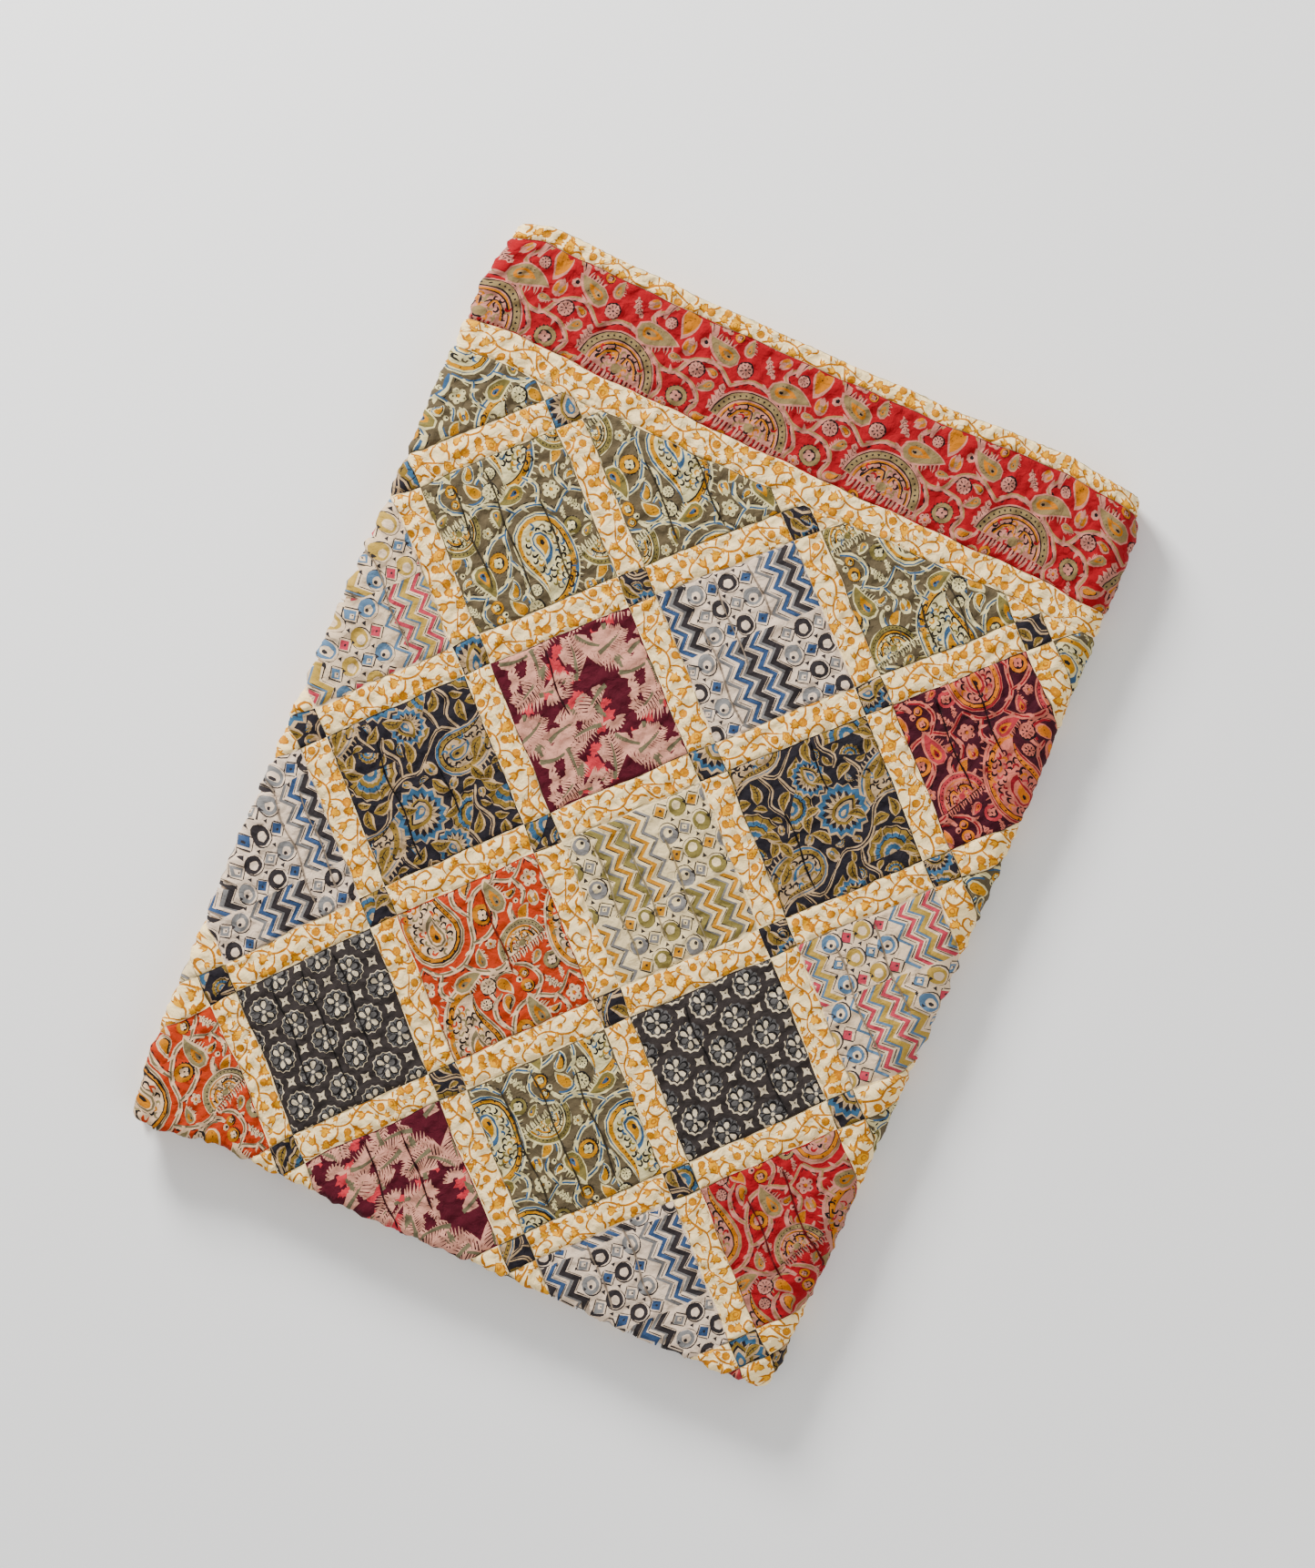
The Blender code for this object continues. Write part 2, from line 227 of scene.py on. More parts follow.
@dataclass
class FoldedCloth:
    """The one cloth of the quilt and the way it lies folded in the pack."""

    sizes: PackSizes = field(default_factory=PackSizes)

    def __post_init__(self) -> None:
        """Works out the runs across and down, and where each begins."""
        size = self.sizes
        left_edge = -size.width / 2
        self.across = (
            Run(left_edge, size.right_fold_x),
            Run(0.0, size.big_fold, 1, 16),
            Run(size.right_fold_x, size.left_fold_x),
            Run(0.0, size.small_fold, 1, 12),
            Run(size.left_fold_x, size.right_fold_x),
            Run(0.0, size.small_fold, -1, 8),
            Run(size.right_fold_x, left_edge + size.inner_inset),
        )
        self.down = (
            Run(0.0, size.first_half),
            Run(0.0, size.length_fold, 1, 12),
            Run(size.first_half, size.lower_end_inset),
        )
        self.across_ends = self.ends(self.across)
        self.down_ends = self.ends(self.down)
        lefts = [row.left for row in SIDE_INSETS]
        rights = [row.right for row in SIDE_INSETS]
        tops = [row.top for row in END_INSETS]
        bottoms = [row.bottom for row in END_INSETS]
        self.shift = ((min(rights) - min(lefts)) / 2, (min(tops) - min(bottoms)) / 2)

    @staticmethod
    def ends(runs: tuple[Run, ...]) -> list[float]:
        """Running length at each end of the runs."""
        ends = [0.0]
        for run in runs:
            ends.append(ends[-1] + run.length)
        return ends

    @property
    def total_across(self) -> float:
        """Full width of the open quilt."""
        return self.across_ends[-1]

    @property
    def total_down(self) -> float:
        """Full length of the open quilt."""
        return self.down_ends[-1]

    @property
    def panel_start(self) -> float:
        """Where the upper panel begins across the cloth, at its right side."""
        return self.across_ends[2]

    @property
    def panel_end(self) -> float:
        """Where the upper panel ends across the cloth, at its left side."""
        return self.across_ends[3]

    def fold_down(self, t: Points, n: Points) -> tuple[Points, Points]:
        """Distance down the pack and height off the middle of the pair of plies."""
        radius = self.sizes.length_fold
        half = self.sizes.first_half
        past = t - half
        angle = np.clip(past / radius, 0.0, math.pi)
        reach = radius + n
        back = np.maximum(past - math.pi * radius, 0.0)
        down = np.minimum(t, half) - back + reach * np.sin(angle)
        return down, reach * np.cos(angle)

    def fold_across(self, s: Points, h: Points) -> tuple[Points, Points]:
        """Place across the pack and height of a point h off the middle of its pair."""
        x = np.full_like(s, -self.sizes.width / 2)
        z = np.full_like(s, self.sizes.pair_half)
        heading = np.zeros_like(s)
        rest = s.copy()
        for run in self.across:
            length = np.clip(rest, 0.0, run.length)
            if run.turn:
                radius = run.end
                turned = heading + run.turn * length / radius
                x += run.turn * radius * (np.sin(turned) - np.sin(heading))
                z -= run.turn * radius * (np.cos(turned) - np.cos(heading))
                heading = turned
            else:
                x += length * np.cos(heading)
                z += length * np.sin(heading)
            rest = rest - length
        return x + h * np.sin(heading), z - h * np.cos(heading)

    def settle(self, x: Points, y: Points, z: Points) -> Points:
        """Moves points of the straight pack to where the soft pack lies, in metres."""
        size = self.sizes
        rows = [row.down for row in SIDE_INSETS]
        down = size.length / 2 - y
        left = np.interp(down, rows, [row.left for row in SIDE_INSETS])
        under = np.interp(down, rows, [row.under for row in SIDE_INSETS])
        right = np.interp(down, rows, [row.right for row in SIDE_INSETS])
        left = np.where(z < size.pair_pitch - size.ply_gap / 2, under, left)
        edge = size.width / 2
        leftness = eased(-x, edge - size.inset_reach, edge)
        rightness = eased(x, edge - size.inset_reach, edge)
        columns = [row.across for row in END_INSETS]
        top = np.interp(x, columns, [row.top for row in END_INSETS])
        bottom = np.interp(x, columns, [row.bottom for row in END_INSETS])
        end = size.length / 2
        topness = eased(y, end - size.inset_reach, end)
        bottomness = eased(-y, end - size.inset_reach, end)
        sag = (1 - (2 * x / size.width) ** 2) * (1 - 0.5 * (2 * y / size.length) ** 2)
        swell = np.sin(2 * math.pi * x / size.swell_across + 0.7)
        swell = swell * np.sin(2 * math.pi * y / size.swell_down + 0.4)
        height = z * (1 - size.middle_sag * sag + size.swell * swell)
        placed_x = x + leftness * left - rightness * right + self.shift[0]
        placed_y = y - topness * top + bottomness * bottom + self.shift[1]
        return np.stack([placed_x, placed_y, height], axis=-1) * MM

    def waver(self, s: Points, t: Points) -> tuple[Points, Points]:
        """The small sideways drift that quilting gives the cloth."""
        along = np.sin(t / 7.9 + 0.7 * np.sin(s / 19.0)) * np.sin(s / 23.0 + 1.0)
        down = np.sin(s / 8.3 + 0.8 * np.sin(t / 21.0)) * np.sin(t / 25.0)
        along = along + 0.7 * np.sin(t / 17.0 + s / 31.0)
        down = down + 0.7 * np.sin(s / 19.0 - t / 29.0 + 2.0)
        return s + self.sizes.drift * along, t + self.sizes.drift * down

    def exposed(self, s: Points, t: Points) -> Points:
        """Share of the full relief that a place has: little where the next ply presses on it."""
        past_side = 1 - eased(s, self.across_ends[4] - 4.0, self.across_ends[4] + 4.0)
        past_end = 1 - eased(t, self.down_ends[2] - 3.0, self.down_ends[2] + 3.0)
        return 0.06 + 0.94 * past_side * past_end

    def place(self, s: Points, t: Points, n: Points) -> Points:
        """Lays flat points into the folded pack, in metres, and rests it on the floor."""
        s, t = self.waver(s, t)
        down, height = self.fold_down(t, n)
        x, z = self.fold_across(s, height)
        laid = self.settle(x, self.sizes.length / 2 - down, z)
        laid[..., 2] = np.maximum(laid[..., 2], 0.0)
        return laid


@dataclass(frozen=True)
class Lattice:
    """The grid of squares on point: cornerstones stand where p and q are whole.

    p runs down to the right over the upper panel and q runs up to the right.
    """

    pitch: float = 166.0
    sashing: float = 27.0
    first_x: float = -202.8
    first_down: float = 143.2
    column: float = 115.6
    row: float = 114.8
    row_lean: float = 6.8
    column_drop: float = 2.96
    row_growth: float = 0.48
    twist_x: float = -0.76
    twist_down: float = -0.92
    twist_limit: float = 5.5

    @property
    def half_sashing(self) -> float:
        """Half the sashing's width as a share of the pitch."""
        return self.sashing / self.pitch / 2

    def flat(self, cloth: FoldedCloth, p: Points, q: Points) -> Points:
        """Flat places of lattice places.

        Args:
            cloth: The cloth that the lattice lies on.
            p: Place along the lines that run down to the right.
            q: Place along the lines that run up to the right.

        Returns:
            One row of s and t for each place.
        """
        column, row = p + q, p - q
        near = np.clip(column, -2.0, self.twist_limit)
        x = self.first_x + self.column * column + self.row_lean * row + self.twist_x * near * row
        down = self.first_down + self.row * row + self.row_growth * row * row
        down = down + near * (self.column_drop + self.twist_down * row)
        s = cloth.panel_start + cloth.sizes.right_fold_x - x
        return np.stack([s, down], axis=-1)

    def place(self, cloth: FoldedCloth, s: Points, t: Points) -> tuple[Points, Points]:
        """Lattice places of flat places, found by a few corrections of a first guess."""
        x = cloth.panel_start + cloth.sizes.right_fold_x - s
        row = (t - self.first_down) / self.row
        column = (x - self.first_x - self.row_lean * row) / self.column
        p, q = (column + row) / 2, (column - row) / 2
        for _ in range(4):
            now = self.flat(cloth, p, q)
            off_x = -(s - now[..., 0]) / self.column
            off_down = (t - now[..., 1]) / self.row
            p = p + (off_x + off_down) / 2
            q = q + (off_x - off_down) / 2
        return p, q


def linear(hex_colour: str) -> tuple[float, float, float, float]:
    """Linear colour of an sRGB hex value."""
    values = [int(hex_colour[k:k + 2], 16) / 255 for k in (0, 2, 4)]
    turned = [v / 12.92 if v <= 0.04045 else ((v + 0.055) / 1.055) ** 2.4 for v in values]
    return (*turned, 1.0)


@dataclass(frozen=True)
class Palette:
    """Dyes of one printed cotton, by what they print."""

    ground: str
    pale: str
    warm: str
    cool: str
    earth: str
    dark: str


DYES = ("ground", "pale", "warm", "cool", "earth", "dark")
PALETTES = {
    Fabric.OLIVE: Palette("574b36", "cabc88", "b07502", "33506e", "716434", "1c1a18"),
    Fabric.RED: Palette("900b16", "ac7061", "af6503", "8a6c46", "7e6944", "161011"),
    Fabric.ORANGE: Palette("a8300f", "cdab86", "ad6803", "6a5d43", "7e6f4b", "1a1514"),
    Fabric.BURGUNDY: Palette("3a0f1a", "ba6353", "c0660f", "82141e", "a02f35", "1c0b10"),
    Fabric.NAVY: Palette("201d22", "a98c68", "7e6228", "31546f", "765c22", "161417"),
    Fabric.MEDALLION: Palette("302a28", "c8b799", "696560", "4f4d4c", "555250", "191615"),
    Fabric.FEATHER: Palette("4a0f1c", "c78a75", "b9313a", "6c6248", "635c44", "2c0b12"),
    Fabric.GEO_BLUE: Palette("d8bfa6", "d8bfa6", "787674", "33496b", "6f6c6a", "2d2829"),
    Fabric.GEO_PINK: Palette("d8bc9a", "d8bc9a", "b03a48", "54708a", "ab8a3c", "2c2829"),
    Fabric.GEO_GREEN: Palette("dcc494", "dcc494", "b87a14", "777370", "7a6c38", "302a25"),
    Fabric.VINE: Palette("ffe0a2", "ffe0a2", "e09a00", "c88000", "c47c00", "b06a00"),
}


class Draw:
    """Closed outlines, in millimetres, that the prints are drawn with."""

    @staticmethod
    def placed(points: Points, x: float, y: float, turn: float = 0.0, scale: float = 1.0) -> Points:
        """Turned by degrees, scaled and moved points."""
        angle = math.radians(turn)
        spin = np.array([[math.cos(angle), math.sin(angle)], [-math.sin(angle), math.cos(angle)]])
        return (points * scale) @ spin + np.array([x, y])

    @staticmethod
    def around(angle: Points, wide: Points | float, high: Points | float | None = None) -> Points:
        """Points at those angles round the origin, as far off as the half width and half height."""
        high = wide if high is None else high
        return np.stack([wide * np.cos(angle), high * np.sin(angle)], axis=-1)

    @staticmethod
    def oval(
        x: float, y: float, wide: float, high: float, count: int, ragged: float = 0.0
    ) -> Points:
        """Oval, with a wavy edge if it is ragged."""
        angle = np.arange(count) * 2 * math.pi / count
        reach = 1 + ragged * np.sin(angle * 5 + x) + ragged * 0.6 * np.cos(angle * 3 + y)
        return Draw.around(angle, wide * reach, high * reach) + (x, y)

    @staticmethod
    def star(
        x: float, y: float, tips: int, outer: float, inner: float, turn: float = 0.0
    ) -> Points:
        """Star or scalloped disc with that many tips."""
        angle = np.arange(2 * tips) * math.pi / tips + math.radians(turn)
        reach = np.where(np.arange(2 * tips) % 2 == 0, outer, inner)
        return Draw.around(angle, reach) + (x, y)

    @staticmethod
    def smooth(points: list[tuple[float, float]], count: int) -> Points:
        """Open curve through the points, with count steps in all."""
        base = np.array(points, float)
        if len(base) == 2:
            share = np.linspace(0, 1, count + 1)[:, None]
            return base[0] * (1 - share) + base[1] * share
        padded = np.vstack([2 * base[0] - base[1], base, 2 * base[-1] - base[-2]])
        places = np.linspace(0, len(base) - 1 - 1e-9, count + 1)
        index = places.astype(int)
        f = (places - index)[:, None]
        a, b, c, d = (padded[index + k] for k in range(4))
        bend, twist = 2 * a - 5 * b + 4 * c - d, 3 * b - a - 3 * c + d
        return 0.5 * (2 * b + (c - a) * f + bend * f**2 + twist * f**3)

    @staticmethod
    def ways(spine: Points) -> tuple[Points, Points]:
        """Directions along a line and to its left, at each of its points."""
        along = np.gradient(spine, axis=0)
        along /= np.maximum(np.linalg.norm(along, axis=1, keepdims=True), 1e-9)
        return along, np.stack([-along[:, 1], along[:, 0]], axis=-1)

    @staticmethod
    def beside(spine: Points, aside: float) -> Points:
        """The line moved to its left by that much."""
        return spine + Draw.ways(spine)[1] * aside

    @staticmethod
    def ribbon(spine: Points, half: Points | float) -> Points:
        """Closed outline of a line of that half width, pointed where the width is 0."""
        spine = np.asarray(spine, float)
        aside = Draw.ways(spine)[1]
        wide = np.broadcast_to(np.asarray(half, float), (len(spine),))[:, None]
        left, right = spine + aside * wide, spine - aside * wide
        if wide[0, 0] < 0.05:
            right = right[1:]
        if wide[-1, 0] < 0.05:
            left = left[:-1]
        return np.vstack([left, right[::-1]])

    @staticmethod
    def mango(length: float, width: float, bend: float, count: int, inset: float = 0.0) -> Points:
        """Paisley outline with its round head at the origin and its tip curling over.

        Args:
            length: From the head's middle to the tip.
            width: Half the head's width.
            bend: How far the tip turns, in degrees.
            count: Steps along each side.
            inset: How far the outline lies inside the full one.

        Returns:
            The outline's points.
        """
        share = np.linspace(0, 1, count + 1)
        run = (length - 1.6 * inset) / count
        heading = math.radians(90) + math.radians(bend) * share**1.6
        spine = np.zeros((count + 1, 2))
        spine[1:, 0] = np.cumsum(np.cos(heading[:-1]) * run)
        spine[1:, 1] = np.cumsum(np.sin(heading[:-1]) * run)
        radius = max(width - inset, 0.2)
        half = radius * np.cos(share * math.pi / 2) ** 0.85
        half[-1] = 0.0
        outline = Draw.ribbon(spine, half)
        turn = np.linspace(math.pi, 2 * math.pi, max(count // 2, 4) + 1)[1:-1]
        return np.vstack([outline, Draw.around(turn, radius)[::-1]])


@dataclass
class Sheet:
    """Marks of one print, in the order in which the blocks are pressed."""

    detail: Detail
    marks: list[Mark] = field(default_factory=list)

    def steps(self, count: int, least: int = 3) -> int:
        """Steps of a curve at this detail."""
        return max(least, round(count * self.detail.share))

    def add(self, dye: str, points: Points) -> None:
        """Adds one closed mark."""
        self.marks.append((dye, points))

    def dot(self, dye: str, x: float, y: float, radius: float, count: int) -> None:
        """Adds a round dot."""
        self.add(dye, Draw.oval(x, y, radius, radius, count))

    def line(self, dye: str, points: list[tuple[float, float]], half: float, steps: int) -> None:
        """Adds a line that narrows at both ends."""
        count = self.steps(steps)
        spine = Draw.smooth(points, count)
        share = np.linspace(0, 1, count + 1)
        self.add(dye, Draw.ribbon(spine, half * (0.35 + 0.65 * np.sin(share * math.pi) ** 0.5)))

    def moved(self, x: float, y: float, turn: float, scale: float = 1.0) -> "Sheet":
        """A copy with its marks turned, scaled and moved."""
        made = Sheet(self.detail)
        made.marks = [(dye, Draw.placed(points, x, y, turn, scale)) for dye, points in self.marks]
        return made

    def stamp(
        self, other: "Sheet", x: float, y: float, turn: float = 0.0, scale: float = 1.0
    ) -> None:
        """Presses another sheet's marks here."""
        self.marks += other.moved(x, y, turn, scale).marks

    def press(self, *stamps: tuple["Sheet", float, float, float]) -> None:
        """Presses several sheets, each at its place and turn."""
        for stamp in stamps:
            self.stamp(*stamp)


@dataclass(frozen=True)
class Motifs:
    """Ordinary block-print motifs, each drawn round the origin."""

    detail: Detail

    def dashes(self, sheet: Sheet, spine: Points, aside: float, half: float, every: int = 3) -> None:
        """Adds short dark strokes in a row beside a line, on fine pieces alone."""
        if self.detail is not Detail.FINE:
            return
        row = Draw.beside(spine, aside)
        for k in range(1, len(row) - 2, every):
            sheet.add("dark", Draw.ribbon(row[k:k + 3], [0.12, half, 0.12]))

    def teeth(self, sheet: Sheet, spine: Points, reach: float, half: float) -> None:
        """Adds a comb of pale teeth with dark gaps along the left side of a line."""
        count = len(spine) - 1
        along, aside = Draw.ways(spine)
        for k in range(count + 1):
            lean = along[k] * reach * (0.2 + 0.22 * math.sin(2.4 * k))
            far = reach * (1.0 + 0.2 * math.sin(1.7 * k + count))
            root, bow = spine[k] - aside[k] * 0.6, spine[k] + aside[k] * far * 0.6 + lean * 0.4
            tip = spine[k] + aside[k] * far + lean
            sheet.add("pale", Draw.ribbon([root, bow, tip], [half, half * 0.8, 0.1]))
            if self.detail is Detail.FINE and k < count:
                middle = (spine[k] + spine[k + 1]) / 2
                end = middle + aside[k] * reach * 0.62 + lean * 0.4
                sheet.add("dark", Draw.ribbon([middle, end], [0.5, 0.2]))

    def filigree(self, sheet: Sheet, wide: float, high: float, up: float, pitch: float) -> None:
        """Adds the curled lines that fill a paisley or a fan, in staggered rows."""
        pitch = pitch if self.detail is Detail.FINE else pitch * 1.8
        dyes = ("dark", "cool", "ground", "dark", "warm", "earth", "dark")
        half = pitch * 0.15 * np.array([0.3, 0.9, 1.1, 1.2, 1.1, 0.9, 0.4])
        number = 0
        for row in range(-int(high / pitch) - 1, int(high / pitch) + 2):
            for column in range(-int(wide / pitch) - 1, int(wide / pitch) + 2):
                x, y = (column + 0.5 * (row % 2)) * pitch, row * pitch * 0.86
                if (x / wide) ** 2 + (y / high) ** 2 > 1:
                    continue
                number += 1
                reach = pitch * 0.6
                curl = Draw.smooth([(-reach, -reach * 0.3), (-reach * 0.3, reach * 0.5),
                                    (reach * 0.5, reach * 0.3), (reach * 0.4, -reach * 0.4)], 6)
                curl = Draw.placed(Draw.ribbon(curl, half), x, y + up, number * 67.0)
                sheet.add(dyes[number % len(dyes)], curl)

    def paisley(self, length: float, bend: float = -70.0) -> Sheet:
        """Paisley with a banded and dotted edge, a comb at its back and a curled filling."""
        sheet = Sheet(self.detail)
        width = length * 0.37
        count = sheet.steps(16, 7)
        if length < 30:
            insets = (("pale", -0.9), ("cool", 0.2), ("pale", 1.1), ("dark", 2.1), ("warm", 2.6))
            for dye, inset in insets:
                if width > inset + 0.8:
                    sheet.add(dye, Draw.mango(length, width, bend, sheet.steps(10, 5), inset))
            return sheet
        edge = Draw.mango(length, width, bend, count, -1.8)
        self.teeth(sheet, edge[1:count - 2] if bend < 0 else edge[count + 3:2 * count], 4.6, 0.75)
        insets = (("pale", -2.2), ("cool", -0.9), ("pale", 0.3), ("dark", 1.4), ("warm", 1.8))
        for dye, inset in insets:
            sheet.add(dye, Draw.mango(length, width, bend, count, inset))
        for x, y in Draw.mango(length, width, bend, sheet.steps(20, 8), 3.5)[::2]:
            sheet.dot("dark", x, y, 0.95, 4)
        sheet.add("dark", Draw.mango(length, width, bend, count, 5.2))
        sheet.add("pale", Draw.mango(length, width, bend, count, 5.8))
        self.filigree(sheet, width * 0.7, width * 1.3, width * 0.62, 5.9)
        drop = Draw.mango(length * 0.3, width * 0.24, bend * 0.8, sheet.steps(7, 4))
        for dye, size in (("pale", 1.5), ("cool", 1.25), ("pale", 0.95), ("warm", 0.75)):
            sheet.add(dye, Draw.placed(drop, 0, -width * 0.1, 0, size))
        sheet.add("dark", Draw.oval(0, 0, width * 0.08, width * 0.12, 5))
        return sheet

    def fan(self, radius: float) -> Sheet:
        """Half-round head with a dotted band and a curled filling, its comb along the flat side."""
        sheet = Sheet(self.detail)
        count = sheet.steps(18, 8)
        for reach, drop in ((0.3, 0.0), (0.2, -0.12)):
            teeth = sheet.steps(17, 7)
            across = np.linspace(radius * 0.92, -radius * 0.86, teeth)
            base = np.stack([across, np.full(teeth, radius * (0.04 + drop))], axis=-1)
            self.teeth(sheet, base, radius * reach, radius * 0.03)
        shells = (("pale", 1.03), ("dark", 0.985), ("earth", 0.965), ("dark", 0.81), ("pale", 0.79),
                  ("warm", 0.74), ("dark", 0.7), ("pale", 0.68))
        for dye, share in shells:
            sheet.add(dye, Draw.around(np.linspace(0, math.pi, count + 1), radius * share))
        dots = sheet.steps(19, 8)
        for k in range(dots):
            angle = math.pi * (k + 0.5) / dots
            x, y = radius * 0.885 * math.cos(angle), radius * 0.885 * math.sin(angle)
            sheet.dot("dark", x, y, radius * 0.033, 4)
        self.filigree(sheet, radius * 0.6, radius * 0.3, radius * 0.29, radius * 0.15)
        for k in (-1, 1):
            hook = ((0.56, 0.1), (0.42, 0.4), (0.14, 0.52), (0.06, 0.3))
            curl = Draw.smooth([(k * radius * x, radius * y) for x, y in hook], 7)
            sheet.add("dark", Draw.ribbon(curl, 0.6))
            sheet.add("warm", Draw.ribbon(Draw.beside(curl, 1.6 * k), 0.8))
        sheet.add("earth", Draw.oval(0, radius * 0.14, radius * 0.14, radius * 0.13, 7))
        return sheet

    def crescent(self, radius: float) -> Sheet:
        """Curled half moon with a dashed back, a knob at its tip and a small drop inside."""
        sheet = Sheet(self.detail)
        count = sheet.steps(12, 7)
        angle = np.linspace(math.radians(-175), math.radians(20), count + 1)
        spine = Draw.around(angle, radius)
        half = radius * 0.24 * np.sin(np.linspace(0.25, math.pi - 0.12, count + 1)) ** 0.7
        sheet.add("pale", Draw.ribbon(spine, half))
        self.dashes(sheet, spine, radius * 0.08, 0.55, 2)
        sheet.add("cool", Draw.ribbon(Draw.beside(spine[2:-2], radius * 0.2), half[2:-2] * 0.28))
        sheet.dot("pale", -radius * 0.86, radius * 0.18, radius * 0.2, 7)
        sheet.dot("dark", -radius * 0.86, radius * 0.18, radius * 0.09, 5)
        drop = Draw.mango(radius * 0.8, radius * 0.32, -40, sheet.steps(6, 4))
        sheet.add("pale", Draw.placed(drop, radius * 0.1, -radius * 0.3, 20, 1.2))
        sheet.add("warm", Draw.placed(drop, radius * 0.1, -radius * 0.3, 20))
        for k in range(3):
            sheet.dot("dark", radius * (0.02 + 0.09 * k), -radius * (0.3 - 0.16 * k), 0.6, 4)
        return sheet

    def spray(self, length: float) -> Sheet:
        """Ragged feather of a leaf with dark dots down its rib."""
        sheet = Sheet(self.detail)
        count = sheet.steps(9, 5)
        spine = Draw.smooth([(0, 0), (length * 0.1, length * 0.5), (-length * 0.04, length)], count)
        share = np.linspace(0, 1, count + 1)
        ragged = 1 + 0.38 * np.where(np.arange(count + 1) % 2 == 0, 1.0, -1.0)
        half = length * 0.17 * np.sin(share * math.pi) ** 0.6 * ragged
        half[0], half[-1] = 0.5, 0.0
        sheet.add("pale", Draw.ribbon(spine, half))
        for k in range(1, count - 1):
            for side in (-1, 1):
                root = spine[k] + (side * 0.4, 0.4)
                tip = spine[k] + (side * half[k] * 0.8, length * 0.1)
                sheet.add("dark", Draw.ribbon([root, tip], [0.42, 0.1]))
        return sheet

    def comb_leaf(self, length: float) -> Sheet:
        """Leaf with long teeth down one side, a coloured heart and a dark eye."""
        sheet = Sheet(self.detail)
        count = sheet.steps(8, 5)
        edge = Draw.mango(length, length * 0.34, -30, count)
        self.teeth(sheet, edge[count + 1:2 * count], length * 0.22, 0.8)
        sheet.add("pale", Draw.mango(length, length * 0.34, -30, count, -0.9))
        sheet.add("earth", Draw.mango(length, length * 0.34, -30, count, 0.6))
        heart = Draw.mango(length * 0.52, length * 0.17, -30, sheet.steps(6, 4))
        sheet.add("warm", Draw.placed(heart, 0, length * 0.02))
        sheet.add("cool", Draw.placed(heart, 0, length * 0.03, 0, 0.55))
        for k in range(4):
            sheet.dot("dark", -length * 0.2 + 0.4 * k, length * (0.05 + 0.12 * k), 0.62, 4)
        sheet.add("dark", Draw.oval(0, length * 0.04, length * 0.045, length * 0.07, 5))
        return sheet

    def flower(self, radius: float) -> Sheet:
        """Small flower of five round petals with dark dots."""
        sheet = Sheet(self.detail)
        for k in range(5):
            angle = math.radians(72 * k + 20)
            x, y = radius * 0.6 * math.cos(angle), radius * 0.6 * math.sin(angle)
            sheet.dot("pale", x, y, radius * 0.42, sheet.steps(7, 4))
            sheet.dot("dark", x * 1.1, y * 1.1, radius * 0.12, 4)
        sheet.dot("warm", 0, 0, radius * 0.22, 5)
        return sheet

    def disc(self, radius: float) -> Sheet:
        """Pale scalloped disc with eight dark wedges round a dark core."""
        sheet = Sheet(self.detail)
        sheet.add("dark", Draw.oval(0, 0, radius * 1.1, radius * 1.1, sheet.steps(14, 8), 0.03))
        sheet.add("pale", Draw.star(0, 0, sheet.steps(12, 7), radius, radius * 0.9))
        for k in range(8):
            angle = math.radians(45 * k + 12)
            at = np.array([math.cos(angle), math.sin(angle)]) * radius
            sheet.add("dark", Draw.ribbon([at * 0.34, at * 0.62, at * 0.76], [0.12, 0.5, 0.1]))
        sheet.dot("dark", 0, 0, radius * 0.16, 5)
        return sheet

    def rosette(self, radius: float, ring: str) -> Sheet:
        """Coloured ring with a fringed edge round a pale cross of petals."""
        sheet = Sheet(self.detail)
        sheet.add("dark", Draw.star(0, 0, sheet.steps(18, 8), radius * 1.12, radius * 0.96))
        sheet.dot(ring, 0, 0, radius, sheet.steps(14, 8))
        sheet.add("dark", Draw.oval(0, 0, radius * 0.62, radius * 0.6, sheet.steps(12, 6)))
        for k in range(4):
            angle = math.radians(90 * k + 30)
            x, y = radius * 0.3 * math.cos(angle), radius * 0.3 * math.sin(angle)
            sheet.dot("pale", x, y, radius * 0.27, sheet.steps(6, 4))
        sheet.dot("dark", 0, 0, radius * 0.12, 4)
        return sheet

    def vine(self, points: list[tuple[float, float]], steps: int = 12, half: float = 2.3) -> Sheet:
        """Pale branch with a coloured side and dark dashes along the other."""
        sheet = Sheet(self.detail)
        sheet.line("pale", points, half, steps)
        spine = Draw.smooth(points, sheet.steps(steps, 3))
        sheet.add("cool", Draw.ribbon(Draw.beside(spine, half * 0.3), half * 0.36))
        for k in range(2, len(spine) - 2, 4):
            way = spine[k + 1] - spine[k - 1]
            turn = math.degrees(math.atan2(way[0], way[1]))
            side = 55 if k % 8 == 2 else -55
            leaf = Draw.mango(7.4, 1.7, 20, 3)
            sheet.add("pale", Draw.placed(leaf, spine[k][0], spine[k][1], turn + side))
        self.dashes(sheet, Draw.smooth(points, sheet.steps(steps * 2, 4)), -half * 1.1, 0.62, 3)
        return sheet

    def bud(self, length: float) -> Sheet:
        """Tulip of a pale cup, two coloured petals and a dotted heart."""
        sheet = Sheet(self.detail)
        sheet.add("pale", Draw.mango(length, length * 0.4, 14, sheet.steps(6, 3)))
        for side in (-1, 1):
            petal = Draw.mango(length * 0.72, length * 0.2, 40 * side, sheet.steps(5, 3))
            sheet.add("pale", Draw.placed(petal, side * length * 0.2, 0, -14 * side, 1.2))
            sheet.add("warm", Draw.placed(petal, side * length * 0.2, 0, -14 * side, 0.86))
        sheet.add("cool", Draw.oval(0, length * 0.1, length * 0.17, length * 0.22, 7))
        sheet.add("pale", Draw.oval(0, length * 0.1, length * 0.08, length * 0.12, 5))
        return sheet


